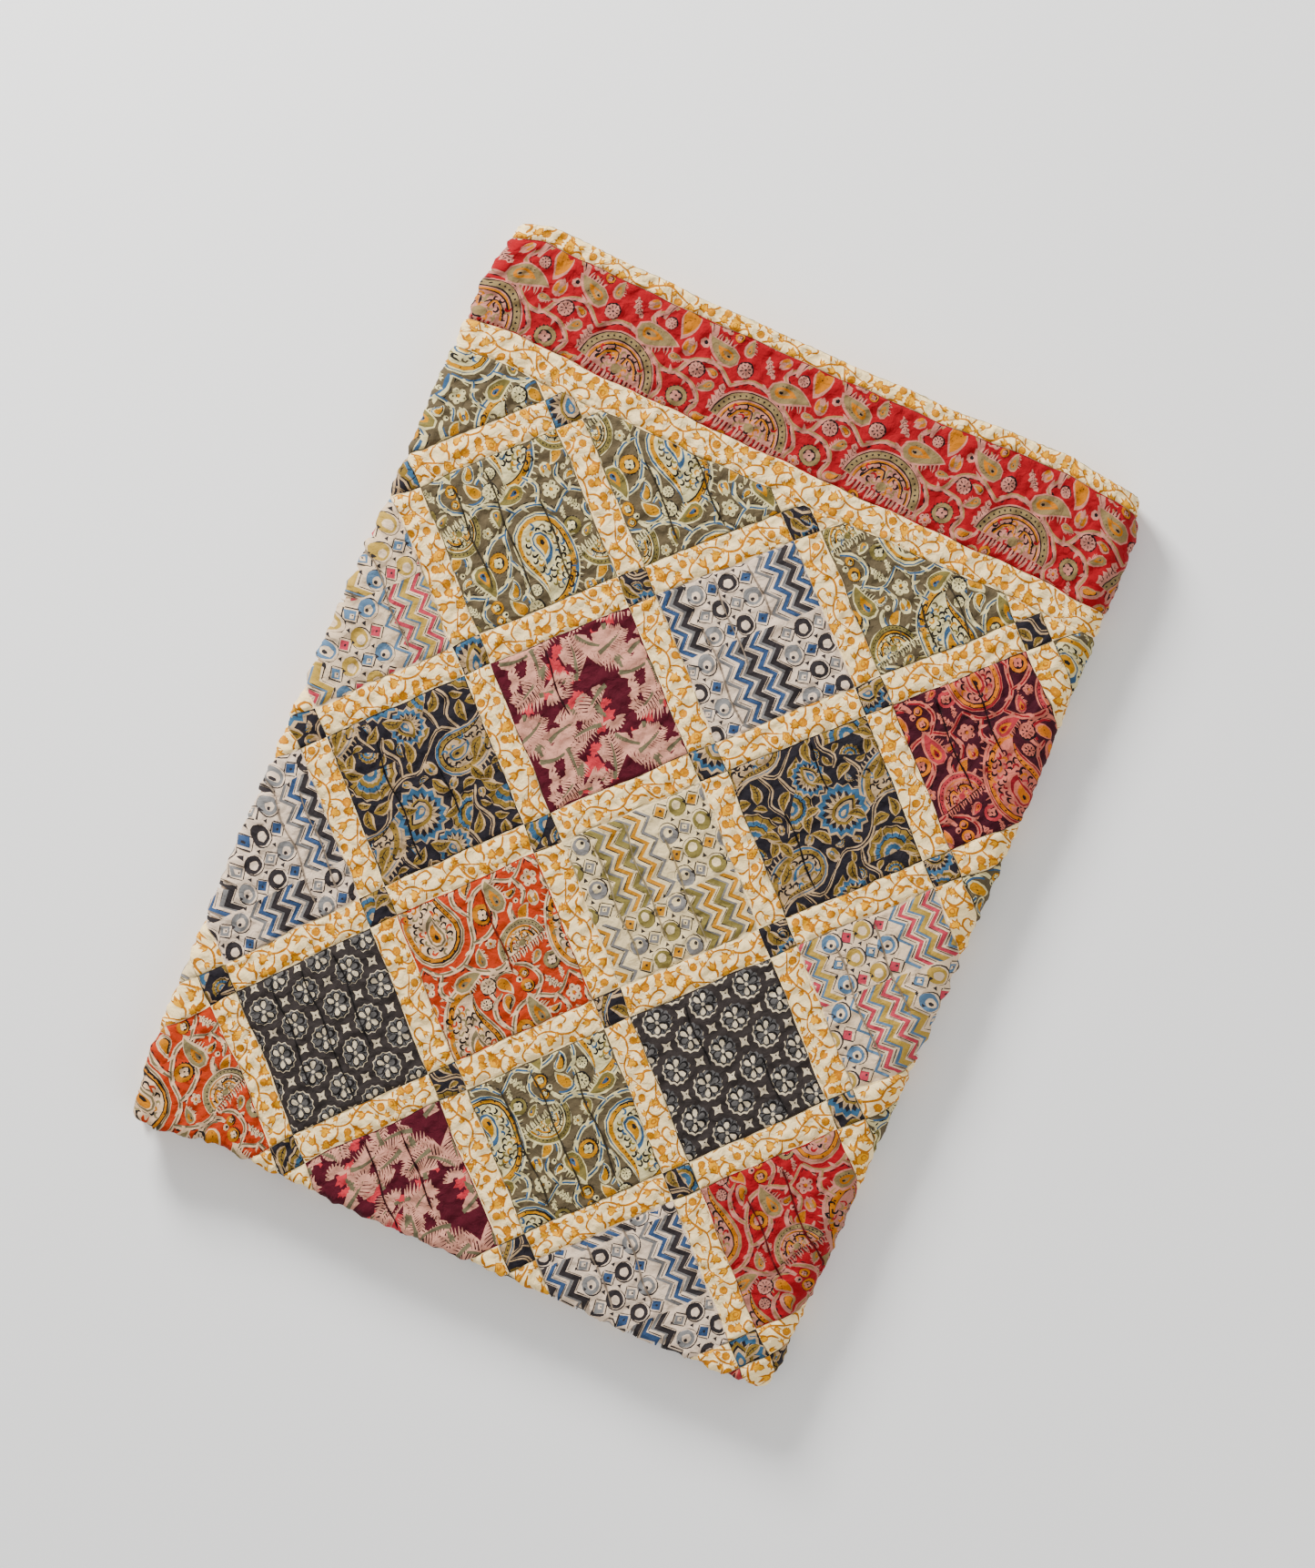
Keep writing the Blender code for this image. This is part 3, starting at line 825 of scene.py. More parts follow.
@dataclass(frozen=True)
class Print:
    """A printed cotton: how its repeat is drawn and laid."""

    detail: Detail
    # The repeat's width and height, and how far each next column drops
    size: ClassVar[tuple[float, float, float]]
    # The most small motifs in one repeat, the share of a gap that one fills, and its largest radius
    most: ClassVar[int] = 60
    share: ClassVar[float] = 0.82
    largest: ClassVar[float] = 9.0

    def repeat(self) -> Sheet:
        """The marks of one repeat."""
        raise NotImplementedError

    def filler(self, number: int) -> Sheet:
        """One of the small motifs that stand between the large ones."""
        motif = Motifs(self.detail)
        kinds = (motif.comb_leaf(18), motif.flower(6), motif.paisley(16, 60), motif.spray(17),
                 motif.rosette(7, "warm"), motif.bud(12), motif.disc(6))
        return kinds[number % len(kinds)]

    def fill(self, sheet: Sheet, least: float) -> Sheet:
        """Presses small motifs into the gaps of a repeat, the widest gap first.

        Args:
            sheet: The repeat's marks.
            least: Half the width of the narrowest gap that is filled.

        Returns:
            The same sheet.
        """
        wide, high, drop = self.size
        columns, rows = int(wide), int(high)
        taken = np.zeros((2 * columns, rows), bool)
        for _, points in sheet.marks:
            low, far = np.floor(points.min(axis=0)), np.ceil(points.max(axis=0))
            cells = np.meshgrid(np.arange(low[0], far[0]), np.arange(low[1], far[1]))
            x, y = (axis.ravel() + 0.5 for axis in cells)
            after = np.roll(points, -1, axis=0)
            rise = np.where(after[:, 1] == points[:, 1], 1e-9, after[:, 1] - points[:, 1])
            cross = (points[:, 1] > y[:, None]) != (after[:, 1] > y[:, None])
            reach = (after[:, 0] - points[:, 0]) * (y[:, None] - points[:, 1]) / rise + points[:, 0]
            held = (cross & (reach > x[:, None])).sum(axis=1) % 2 == 1
            column = np.floor(x[held] / wide)
            across = np.clip(x[held] - column * wide, 0, columns - 1).astype(int)
            for side in (0, 1):
                down = (y[held] + drop * ((side - column) % 2)) % high
                taken[across + side * columns, np.clip(down, 0, rows - 1).astype(int)] = True
        room, grown = np.zeros(taken.shape), taken
        for step in range(1, 16):
            sides = [np.roll(grown, way, axis) for way in (1, -1) for axis in (0, 1)]
            grown = np.logical_or.reduce([grown, *sides])
            room[~grown] = step
        grid = np.meshgrid(np.arange(2 * columns), np.arange(rows), indexing="ij")
        across, down = grid[0] + 0.5, grid[1] + 0.5
        for number in range(self.most):
            place = np.unravel_index(np.argmax(room[:columns]), (columns, rows))
            space = room[place] * self.share
            if space < least:
                break
            made = self.filler(number)
            points = np.vstack([points for _, points in made.marks])
            low, far = points.min(axis=0), points.max(axis=0)
            reach = np.linalg.norm(far - low) / 2 * self.share
            size = min(space * 1.18, self.largest) / reach
            middle = (low + far) / 2
            made = made.moved(-middle[0], -middle[1], 0.0)
            sheet.stamp(made, place[0] + 0.5, place[1] + 0.5, number * 71.0, size)
            for x, y in ((place[0], place[1]), (place[0] + columns, place[1] + drop)):
                aside = np.abs(across - x - 0.5)
                below = np.abs(down - (y + 0.5) % rows)
                aside = np.minimum(aside, 2 * columns - aside)
                away = np.hypot(aside, np.minimum(below, rows - below))
                room = np.minimum(room, np.maximum(away - min(space, 8.0), 0.0))
        return sheet

    def over(
        self, cover: tuple[float, float], start: tuple[float, float], turn: float
    ) -> list[Mark]:
        """Marks that cover a rectangle round the origin.

        Args:
            cover: Width and height of the rectangle.
            start: Where the rectangle's middle lies in the repeat.
            turn: How far the print is turned, in degrees.

        Returns:
            The marks, in the order of printing.
        """
        wide, high, drop = self.size
        least = self.detail.least
        turned = drawn(self).moved(0, 0, turn).marks
        turned = [mark for mark in turned if abs(ring_area(mark[1])) > least]
        low = np.array([points.min(axis=0) for _, points in turned])
        far = np.array([points.max(axis=0) for _, points in turned])
        half = np.array(cover) / 2
        corners = np.array([half, half * (1, -1)])
        reach = np.abs(Draw.placed(corners, 0, 0, -turn)).max(axis=0) + max(wide, high)
        made: list[Mark] = []
        for column in range(-int(reach[0] / wide) - 1, int(reach[0] / wide) + 2):
            for row in range(-int(reach[1] / high) - 2, int(reach[1] / high) + 3):
                x = column * wide - start[0] % (2 * wide)
                y = row * high + drop * (column % 2) - start[1] % high
                move = Draw.placed(np.array([[x, y]]), 0, 0, turn)[0]
                near = ((low + move < half) & (far + move > -half)).all(axis=1)
                made += [(turned[k][0], turned[k][1] + move) for k in np.flatnonzero(near)]
        return made


@lru_cache(maxsize=None)
def drawn(kind: Print) -> Sheet:
    """A print's repeat, drawn once."""
    return kind.repeat()


@dataclass(frozen=True)
class PaisleyPrint(Print):
    """All-over paisleys, rosettes and leaves on curling vines."""

    size = (124.0, 108.0, 54.0)

    def repeat(self) -> Sheet:
        """One paisley, a half-round head, crescents and rosettes, with small motifs between."""
        motif = Motifs(self.detail)
        sheet = Sheet(self.detail)
        for points, steps in (
            ([(0, 28), (14, 16), (36, 16), (52, 30), (56, 52), (68, 70), (88, 74), (106, 68),
              (124, 82)], 30),
            ([(36, 16), (50, 4), (66, 0), (78, 6)], 11),
            ([(88, 74), (98, 88), (92, 102), (80, 108)], 11),
            ([(52, 30), (66, 32), (78, 42), (80, 52)], 10), ([(14, 16), (8, 2), (16, -10)], 8),
            ([(56, 52), (48, 66), (50, 80), (60, 88)], 10), ([(106, 68), (112, 54), (106, 44)], 7),
        ):
            sheet.stamp(motif.vine(points, steps), 0, 0)
        sheet.press(
            (motif.crescent(15), 66, 92, 200), (motif.crescent(13), 106, 38, -60),
            (motif.fan(24), 94, 10, 14), (motif.paisley(66, -82), 22, 48, 14),
            (motif.rosette(8.8, "warm"), 68, 50, 0), (motif.rosette(8.0, "earth"), 114, 98, 0),
            (motif.disc(7.2), 50, 99, 0), (motif.comb_leaf(24), 86, 54, 20),
            (motif.comb_leaf(21), 28, 0, -70),
        )
        return self.fill(sheet, 4.4)


@dataclass(frozen=True)
class BorderPrint(Print):
    """The red border's run of half-round heads with leaves and rosettes between them."""

    size = (128.0, 110.0, 0.0)

    def repeat(self) -> Sheet:
        """One stretch of the border, as high as it."""
        motif = Motifs(self.detail)
        sheet = Sheet(self.detail)
        for points, steps in (
            ([(-4, 48), (12, 60), (36, 56), (58, 40), (74, 40), (84, 56), (104, 62), (124, 48)], 26),
            ([(58, 40), (68, 22), (62, 8), (70, -6)], 9),
            ([(74, 40), (92, 36), (102, 24), (98, 10), (106, 0)], 12),
            ([(36, 56), (44, 66), (38, 78), (46, 86)], 8), ([(104, 62), (110, 76), (104, 88)], 6),
        ):
            sheet.stamp(motif.vine(points, steps), 0, 0)
        sheet.press(
            (motif.fan(37), 24, 16, -8), (motif.crescent(23), 70, 84, 168),
            (motif.comb_leaf(30), 38, 62, -80), (motif.comb_leaf(26), 112, 72, 70),
            (motif.spray(27), 112, 22, -16), (motif.rosette(9.4, "earth"), 84, 20, 0),
            (motif.disc(7.2), 91, 50, 0),
        )
        return self.fill(sheet, 4.4)


@dataclass(frozen=True)
class NavyPrint(Print):
    """Large flowers, striped paisleys and leaves on double pale stems."""

    size = (116.0, 112.0, 56.0)

    def lotus(self, radius: float) -> Sheet:
        """Flower of scalloped rings, pale rays and a striped drop at its heart."""
        sheet = Sheet(self.detail)
        tips = sheet.steps(15, 9)
        sheet.add("pale", Draw.star(0, 0, tips, radius * 1.05, radius * 0.9))
        sheet.add("cool", Draw.star(0, 0, tips, radius * 0.98, radius * 0.82))
        sheet.add("ground", Draw.star(0, 0, tips, radius * 0.76, radius * 0.62))
        sheet.add("pale", Draw.star(0, 0, tips, radius * 0.74, radius * 0.48, 9))
        for k in range(tips if self.detail is Detail.FINE else 0):
            angle = 2 * math.pi * (k + 0.25) / tips
            at = np.array([math.cos(angle), math.sin(angle)]) * radius
            sheet.add("dark", Draw.ribbon([at * 0.4, at * 0.66], [0.4, 0.1]))
        heart = sheet.steps(8, 4)
        drops = (("earth", 0.8, 0.44), ("dark", 0.66, 0.34), ("pale", 0.6, 0.3),
                 ("cool", 0.42, 0.19), ("pale", 0.2, 0.09))
        for dye, long, wide in drops:
            drop = Draw.mango(radius * long, radius * wide, -20, heart)
            sheet.add(dye, Draw.placed(drop, 0, -radius * 0.14, -30))
        return sheet

    def shell(self, radius: float) -> Sheet:
        """Half-round flower of scalloped bands with dark ribs."""
        sheet = Sheet(self.detail)
        count = sheet.steps(14, 8)
        angle = np.linspace(math.radians(-86), math.radians(86), count + 1)
        wave = 1 + 0.035 * np.cos(np.arange(count + 1) * math.pi)
        ring = Draw.around(angle, 1.0)
        bands = (("pale", 1.06), ("dark", 1.0), ("earth", 0.96), ("pale", 0.8), ("cool", 0.74),
                 ("dark", 0.58), ("earth", 0.55), ("pale", 0.42), ("cool", 0.34), ("pale", 0.16))
        for dye, share in bands:
            sheet.add(dye, ring * radius * share * wave[:, None])
        for k in range(1, count, 2):
            rib = [ring[k] * radius * 0.6, ring[k] * radius * 0.94]
            sheet.add("dark", Draw.ribbon(rib, 0.3))
        return sheet

    def filler(self, number: int) -> Sheet:
        """A leaf, a shell or a bud."""
        if number % 4 == 1:
            return self.shell(9)
        return self.leaf(18) if number % 4 != 3 else Motifs(self.detail).bud(12)

    def leaf(self, length: float) -> Sheet:
        """Pointed leaf with a pale edge and dark veins."""
        sheet = Sheet(self.detail)
        spine = Draw.smooth([(0, 0), (length * 0.14, length * 0.5), (-length * 0.04, length)], 6)
        body = np.array([0.05, 0.7, 1.0, 0.95, 0.75, 0.4, 0.0])
        sheet.add("pale", Draw.ribbon(spine, body * length * 0.27))
        sheet.add("earth", Draw.ribbon(spine, body * length * 0.19))
        sheet.add("dark", Draw.ribbon(spine[1:-1], [0.35, 0.4, 0.4, 0.3, 0.2]))
        for k in (2, 3, 4):
            for side in (-1, 1):
                tip = spine[k] + (side * length * 0.14, length * 0.1)
                sheet.add("dark", Draw.ribbon([spine[k], tip], [0.3, 0.12]))
        return sheet

    def repeat(self) -> Sheet:
        """Stems with a paisley, two flowers, two shells and many leaves."""
        motif = Motifs(self.detail)
        sheet = Sheet(self.detail)
        for points, steps in (
            ([(0, 18), (14, 30), (30, 28), (46, 38), (58, 58), (78, 66), (98, 58), (116, 74)], 24),
            ([(58, 58), (50, 74), (56, 92), (46, 108)], 10),
            ([(78, 66), (88, 50), (82, 36), (92, 20), (86, 4)], 14),
            ([(30, 28), (28, 12), (38, 0), (34, -10)], 9), ([(98, 58), (104, 42), (112, 34)], 6),
        ):
            sheet.line("pale", points, 2.1, steps)
            sheet.line("ground", points, 0.75, steps)
        sheet.press(
            (motif.paisley(50, 72), 90, 84, 100), (self.lotus(25), 26, 64, -20),
            (self.shell(23), 56, 12, 96), (self.lotus(17), 8, 102, 60), (self.shell(19), 98, 26, -30),
        )
        for x, y, turn, length in (
            (64, 78, -40, 22), (4, 40, 40, 20), (66, 44, 100, 19), (106, 54, -50, 20),
            (28, 90, 70, 20), (72, 18, 200, 19), (44, 50, 60, 18), (114, 16, 150, 19),
            (50, 100, 120, 18), (82, 98, 30, 20), (18, 20, 170, 20), (40, 28, -60, 17),
            (78, 4, 60, 18), (66, 104, -20, 18), (6, 74, 110, 16),
        ):
            sheet.stamp(self.leaf(length), x, y, turn)
        return self.fill(sheet, 4.0)


@dataclass(frozen=True)
class MedallionPrint(Print):
    """Scalloped medallions in staggered columns with small stars between them."""

    size = (22.5, 46.0, 23.0)

    def medallion(self, radius: float) -> Sheet:
        """Grey disc with a thin scalloped pale edge and six drops round its core."""
        sheet = Sheet(self.detail)
        scallops = sheet.steps(13, 8)
        sheet.add("pale", Draw.star(0, 0, scallops, radius * 1.03, radius * 0.91))
        sheet.add("dark", Draw.star(0, 0, scallops, radius * 0.975, radius * 0.865))
        sheet.add("cool", Draw.star(0, 0, scallops, radius * 0.94, radius * 0.83))
        for k in range(6):
            turn = 60.0 * k + 10
            inner = "pale" if k % 3 else "earth"
            for dye, long, wide, out in (("dark", 0.46, 0.26, 0.6), (inner, 0.36, 0.18, 0.56)):
                drop = Draw.mango(radius * long, radius * wide, 0, sheet.steps(5, 3))
                sheet.add(dye, Draw.placed(Draw.placed(drop, radius * out, 0, 90), 0, 0, turn))
            rib = [(radius * share, 0.0) for share in (0.5, 0.7, 0.88)]
            sheet.add("dark", Draw.placed(Draw.ribbon(rib, [0.1, 0.55, 0.3]), 0, 0, turn + 30))
        sheet.dot("pale", 0, 0, radius * 0.13, 6)
        return sheet

    def repeat(self) -> Sheet:
        """One medallion and the star below it."""
        sheet = Sheet(self.detail)
        sheet.stamp(self.medallion(13.4), 0, 0)
        sheet.add("pale", Draw.star(0, 23, 4, 5.8, 2.6, 38))
        sheet.dot("dark", 0, 23, 0.9, 4)
        return sheet


@dataclass(frozen=True)
class FeatherPrint(Print):
    """Broad ragged feathers and coral blotches over a maroon ground."""

    size = (100.0, 92.0, 46.0)

    def feather(self, length: float, bend: float) -> Sheet:
        """Feather of brushed barbs along a khaki rib, with the ground between the barbs."""
        sheet = Sheet(self.detail)
        count = sheet.steps(15, 8)
        share = np.linspace(0, 1, count + 1)
        heading = math.radians(90) + math.radians(bend) * share
        spine = np.zeros((count + 1, 2))
        spine[1:, 0] = np.cumsum(np.cos(heading[:-1])) * length / count
        spine[1:, 1] = np.cumsum(np.sin(heading[:-1])) * length / count
        wide = length * 0.32 * np.sin(share * math.pi) ** 0.6
        sheet.add("pale", Draw.ribbon(spine, np.concatenate([[0.0], wide[1:-1] * 0.5, [0.0]])))
        step = length / count
        for k in range(1, count):
            along = np.array([math.cos(heading[k]), math.sin(heading[k])])
            aside = np.array([-along[1], along[0]])
            for side in (-1, 1):
                reach = wide[k] * (1.0 + 0.22 * math.sin(7.0 * k + 3 * side))
                tip = spine[k] + aside * side * reach + along * reach * 0.75
                bow = spine[k] + aside * side * reach * 0.62 + along * reach * 0.22
                barb = [spine[k] + aside * side * 0.8, bow, tip]
                sheet.add("pale", Draw.ribbon(barb, [step * 0.4, step * 0.46, 0.12]))
                root = spine[k] + aside * side * 1.4 + along * step * 0.5
                sheet.add("dark", Draw.ribbon([root, bow + along * step * 0.5], [0.62, 0.2]))
        sheet.add("earth", Draw.ribbon(spine[: count - 2], np.linspace(2.2, 0.6, count - 2)))
        return sheet

    def blotch(self, wide: float, high: float, dye: str) -> Sheet:
        """Ragged spot of colour."""
        sheet = Sheet(self.detail)
        count = sheet.steps(22, 10)
        angle = np.arange(count) * 2 * math.pi / count
        tooth = 0.16 * np.where(np.arange(count) % 2 == 0, 1, -1)
        reach = 1 + 0.2 * np.sin(angle * 3 + wide) + tooth
        sheet.add(dye, Draw.around(angle, wide * reach, high * reach))
        return sheet

    def repeat(self) -> Sheet:
        """Blotches, feathers over them, more blotches and a few rayed tufts."""
        sheet = Sheet(self.detail)
        for x, y, wide, high in (
            (44, 30, 9, 15), (84, 40, 13, 8), (24, 82, 12, 8), (62, 84, 8, 11), (8, 14, 9, 7),
            (34, 58, 6, 8), (90, 78, 8, 9),
        ):
            sheet.stamp(self.blotch(wide, high, "warm"), x, y, x)
        for x, y, turn, length, bend in (
            (20, 6, 40, 46, 40), (58, 16, -30, 46, -50), (94, 4, 70, 44, 60),
            (10, 56, -70, 46, 50), (50, 58, 20, 44, -60), (90, 52, -10, 46, 50),
            (34, 42, 150, 40, 40), (78, 84, 120, 40, -40), (4, 28, 100, 34, 30),
            (70, 42, 80, 36, 50), (28, 86, -100, 34, 40), (64, 2, 10, 32, -30),
        ):
            sheet.stamp(self.feather(length, bend), x, y, turn)
        for dye, places in (
            ("ground", ((76, 14, 7, 5), (28, 54, 4, 8), (96, 70, 8, 4), (50, 40, 4, 7),
                        (14, 40, 7, 4), (70, 70, 4, 7))),
            ("warm", ((40, 12, 7, 4), (84, 62, 4, 8), (16, 70, 7, 3), (60, 46, 3, 7))),
            ("ground", ((34, 30, 3, 6), (84, 30, 6, 3), (46, 78, 6, 3), (6, 8, 3, 7))),
            ("earth", ((60, 24, 6, 3), (24, 74, 3, 7), (90, 86, 7, 3))),
            ("warm", ((44, 58, 6, 3),)),
        ):
            for x, y, wide, high in places:
                sheet.stamp(self.blotch(wide, high, dye), x, y, x)
        for x, y, radius in ((58, 42, 13), (14, 84, 12), (90, 22, 11), (36, 70, 10)):
            for k in range(sheet.steps(9, 5)):
                angle = math.radians(19 * k + x)
                tip = np.array([math.cos(angle), math.sin(angle)]) * radius
                at = np.array([x, y])
                ray = Draw.ribbon([at + tip * 0.25, at + tip * 0.7, at + tip], [0.5, 1.6, 0.7])
                sheet.add("pale", ray)
                sheet.add("dark", Draw.ribbon([at + tip * 0.75, at + tip * 1.15], [0.45, 0.15]))
        return sheet


@dataclass(frozen=True)
class GeometricPrint(Print):
    """Blocks of zigzag stripes beside blocks of rings, squares and triangles."""

    size = (64.0, 160.0, 80.0)

    def outline(self, sheet: Sheet, points: Points, half: float = 0.5) -> None:
        """Adds a dashed dark line round a shape."""
        closed = np.vstack([points, points[:1]])
        for start, end in zip(closed, closed[1:]):
            gap = (end - start) * 0.05
            sheet.add("dark", Draw.ribbon([start + gap, end - gap], half))

    def zigzag(self, sheet: Sheet, dye: str, x: float, turns: int, wide: float) -> None:
        """Adds an upright zigzag stripe with a thin dark line down both sides."""
        rows = np.arange(turns + 1)
        lean = np.where(rows % 2 == 0, -5.4, 5.4)
        upper = np.stack([x + lean - wide, rows * 10.0], axis=-1)
        lower = np.stack([x + lean + wide, rows * 10.0], axis=-1)
        sheet.add(dye, np.vstack([upper, lower[::-1]]))
        for start, end in zip(upper - (1.5, 0.0), upper[1:] - (1.5, 0.0)):
            stroke = [start * 0.94 + end * 0.06, start * 0.06 + end * 0.94]
            sheet.add("dark", Draw.ribbon(stroke, 0.36))

    def ring(self, radius: float, dye: str, heart: str) -> Sheet:
        """Thick ring inside a thin dark circle, with an off-centre dot."""
        sheet = Sheet(self.detail)
        count = sheet.steps(15, 8)
        sheet.dot("dark", 0, 0, radius, count)
        sheet.dot("ground", 0, 0, radius - 0.8, count)
        sheet.add(dye, Draw.oval(0.8, -0.9, radius * 0.86, radius * 0.86, count, 0.02))
        sheet.add("ground", Draw.oval(0.4, 0.5, radius * 0.44, radius * 0.44, count - 2, 0.04))
        sheet.dot(heart, radius * 0.2, radius * 0.12, radius * 0.2, 6)
        return sheet

    def tile_square(self, side: float, dye: str, solid: bool) -> Sheet:
        """Square in a dashed frame, solid with a dot or hollow."""
        sheet = Sheet(self.detail)
        self.outline(sheet, Draw.star(0, 0, 2, side * 0.86, side * 0.82, 4))
        sheet.add(dye, Draw.star(0.4, -0.3, 2, side * 0.62, side * 0.58, 8))
        if solid:
            sheet.add("dark", Draw.oval(0, 0, 1.4, 1.2, 5))
        else:
            sheet.add("ground", Draw.star(0.3, 0.2, 2, side * 0.3, side * 0.28, 10))
            sheet.dot("dark", -0.4, 0.3, 1.0, 4)
        return sheet

    @property
    def stripes(self) -> tuple[tuple[str, float, float], ...]:
        """Zigzags in the order of printing: dye, place across and half their width."""
        return (("earth", 11.5, 2.2), ("cool", 21, 2.7), ("earth", 35.5, 2.2), ("cool", 45, 2.7),
                ("dark", 7, 3.4), ("dark", 31, 3.4), ("earth", 55, 2.0))

    @property
    def solids(self) -> tuple[str, str, str]:
        """Dyes of the two kinds of ring and of the squares."""
        return "dark", "warm", "cool"

    def repeat(self) -> Sheet:
        """A block of zigzags over a block of rings and squares, which the next column swaps."""
        sheet = Sheet(self.detail)
        for dye, x, wide in self.stripes:
            self.zigzag(sheet, dye, x, 8, wide)
        first, second, square = self.solids
        for column in range(4):
            for row in range(4):
                x, y = 7 + 16.0 * column, 91 + 20.0 * row
                if (row + column) % 2 == 0:
                    dye = first if (row + column // 2) % 2 else second
                    sheet.stamp(self.ring(9.6, dye, "dark" if dye == second else "ground"), x, y)
                else:
                    dye, solid = square if row % 2 else second, row % 2 == 1
                    sheet.stamp(self.tile_square(9.6, dye, solid), x, y, 6)
                sheet.add("dark", Draw.star(x + 8.0, y + 10.0, 3, 2.6, 1.3, 90))
                sheet.add("dark", Draw.star(x + 8.0, y + 0.5, 3, 2.0, 1.0, 30))
        return sheet


@dataclass(frozen=True)
class WarmGeometricPrint(GeometricPrint):
    """The geometric print in its softer dyes."""

    @property
    def stripes(self) -> tuple[tuple[str, float, float], ...]:
        """Zigzags in the order of printing: dye, place across and half their width."""
        return (("cool", 11.5, 1.8), ("warm", 21, 2.4), ("cool", 35.5, 1.8), ("warm", 45, 2.4),
                ("earth", 7, 3.4), ("earth", 31, 3.4), ("cool", 55, 1.8))

    @property
    def solids(self) -> tuple[str, str, str]:
        """Dyes of the two kinds of ring and of the squares."""
        return "earth", "cool", "warm"


@dataclass(frozen=True)
class VinePrint(Print):
    """Fine mustard vines with tulips, holly leaves, round thistles and ragged blossoms."""

    size = (84.0, 36.0, 18.0)

    def tulip(self, size: float) -> Sheet:
        """Small bud of three points with a paler heart."""
        sheet = Sheet(self.detail)
        cup = size * np.array([
            (-0.45, 0.1), (-0.26, -0.2), (0.0, -0.3), (0.26, -0.2), (0.45, 0.1), (0.66, 0.86),
            (0.26, 0.42), (0.0, 1.0), (-0.26, 0.42), (-0.66, 0.86),
        ])
        sheet.add("dark", cup)
        sheet.add("warm", cup * 0.6 + np.array([0, size * 0.06]))
        return sheet

    def holly(self, length: float) -> Sheet:
        """Leaf of five spiky points."""
        sheet = Sheet(self.detail)
        half = np.array([
            (0.0, 0.0), (0.2, 0.06), (0.52, -0.02), (0.34, 0.3), (0.64, 0.46), (0.32, 0.58),
            (0.3, 0.86), (0.0, 1.1),
        ])
        points = np.vstack([half, (half * (-1, 1))[1:-1][::-1]]) * length
        sheet.add("dark", points)
        sheet.add("warm", points * 0.68 + np.array([0, length * 0.14]))
        return sheet

    def thistle(self, radius: float) -> Sheet:
        """Round spiky head on a short neck."""
        sheet = Sheet(self.detail)
        sheet.add("dark", Draw.star(0, 0, sheet.steps(13, 7), radius, radius * 0.86))
        sheet.add("earth", Draw.oval(0, 0, radius * 0.8, radius * 0.78, sheet.steps(10, 6), 0.03))
        sheet.add("warm", Draw.oval(-radius * 0.2, radius * 0.2, radius * 0.2, radius * 0.16, 5))
        return sheet

    def blossom(self, length: float) -> Sheet:
        """Ragged drop with a ring and a dot inside it."""
        sheet = Sheet(self.detail)
        count = sheet.steps(9, 5)
        edge = Draw.mango(length, length * 0.42, -26, count)
        middle = np.array([0.0, length * 0.25])
        ragged = np.where(np.arange(len(edge)) % 2 == 0, 1.1, 0.86)[:, None]
        sheet.add("dark", middle + (edge - middle) * ragged)
        sheet.add("warm", middle + (edge - middle) * ragged * 0.78)
        sheet.add("dark", Draw.oval(0, length * 0.06, length * 0.2, length * 0.24, count))
        sheet.add("warm", Draw.oval(0, length * 0.06, length * 0.12, length * 0.15, 6))
        return sheet

    def filler(self, number: int) -> Sheet:
        """A tulip on a bent stalk, a holly leaf or a thistle."""
        if number % 5 == 2:
            return self.holly(8)
        if number % 5 == 4:
            return self.thistle(4)
        sheet = Sheet(self.detail)
        sheet.line("dark", [(0, -7), (1.6, -3), (0, 0)], 0.85, 5)
        sheet.stamp(self.tulip(5.6), 0, 0, 10)
        return sheet

    def repeat(self) -> Sheet:
        """One vine along the repeat with its side shoots and everything that grows on them."""
        sheet = Sheet(self.detail)
        for points, steps in (
            ([(-1, 8), (10, 15), (20, 13), (30, 6), (42, 5), (52, 12), (64, 16), (76, 12),
              (85, 8.5)], 30),
            ([(20, 13), (25, 20), (34, 23), (38, 17), (33, 14)], 11),
            ([(52, 12), (50, 21), (57, 27), (63, 23)], 9), ([(30, 6), (26, -2), (17, -5)], 7),
            ([(10, 15), (7, 22), (12, 28)], 7), ([(42, 5), (46, -3), (55, -5)], 7),
            ([(76, 12), (74, 20), (80, 26)], 7), ([(64, 16), (70, 3), (76, -2)], 7),
        ):
            sheet.line("dark", points, 0.98, steps)
        for kind, places in (
            (self.holly, ((8.6, 36, 24, 10), (8.0, 18, -5, 110), (8.4, 12, 27, -30),
                          (7.6, 64, 22, 150))),
            (self.tulip, ((5.3, 32, 14, 120), (5.1, 62, 23, 210), (5.5, 56, -5, -100),
                          (5.5, 80, 26, -20), (4.7, 6, 13, 30), (4.5, 26, 9, 170),
                          (4.9, 45, 9, -10), (4.5, 58, 15, 20), (4.9, 24, 20, 50),
                          (4.7, 68, 13, -170), (5.3, 76, -2, -70))),
            (self.blossom, ((12.5, 47, 25, 10), (10.5, 2, 24, -160))),
            (self.thistle, ((4.5, 22, 29, 0), (4.1, 71, 28, 0), (4.0, 37, -2, 0))),
        ):
            for size, x, y, turn in places:
                sheet.stamp(kind(size), x, y, turn)
        return self.fill(sheet, 3.6)


PRINTS: dict[Fabric, type[Print]] = {
    **dict.fromkeys((Fabric.OLIVE, Fabric.RED, Fabric.ORANGE, Fabric.BURGUNDY), PaisleyPrint),
    **dict.fromkeys((Fabric.GEO_PINK, Fabric.GEO_GREEN), WarmGeometricPrint),
    Fabric.GEO_BLUE: GeometricPrint, Fabric.NAVY: NavyPrint, Fabric.MEDALLION: MedallionPrint,
    Fabric.FEATHER: FeatherPrint, Fabric.VINE: VinePrint,
}


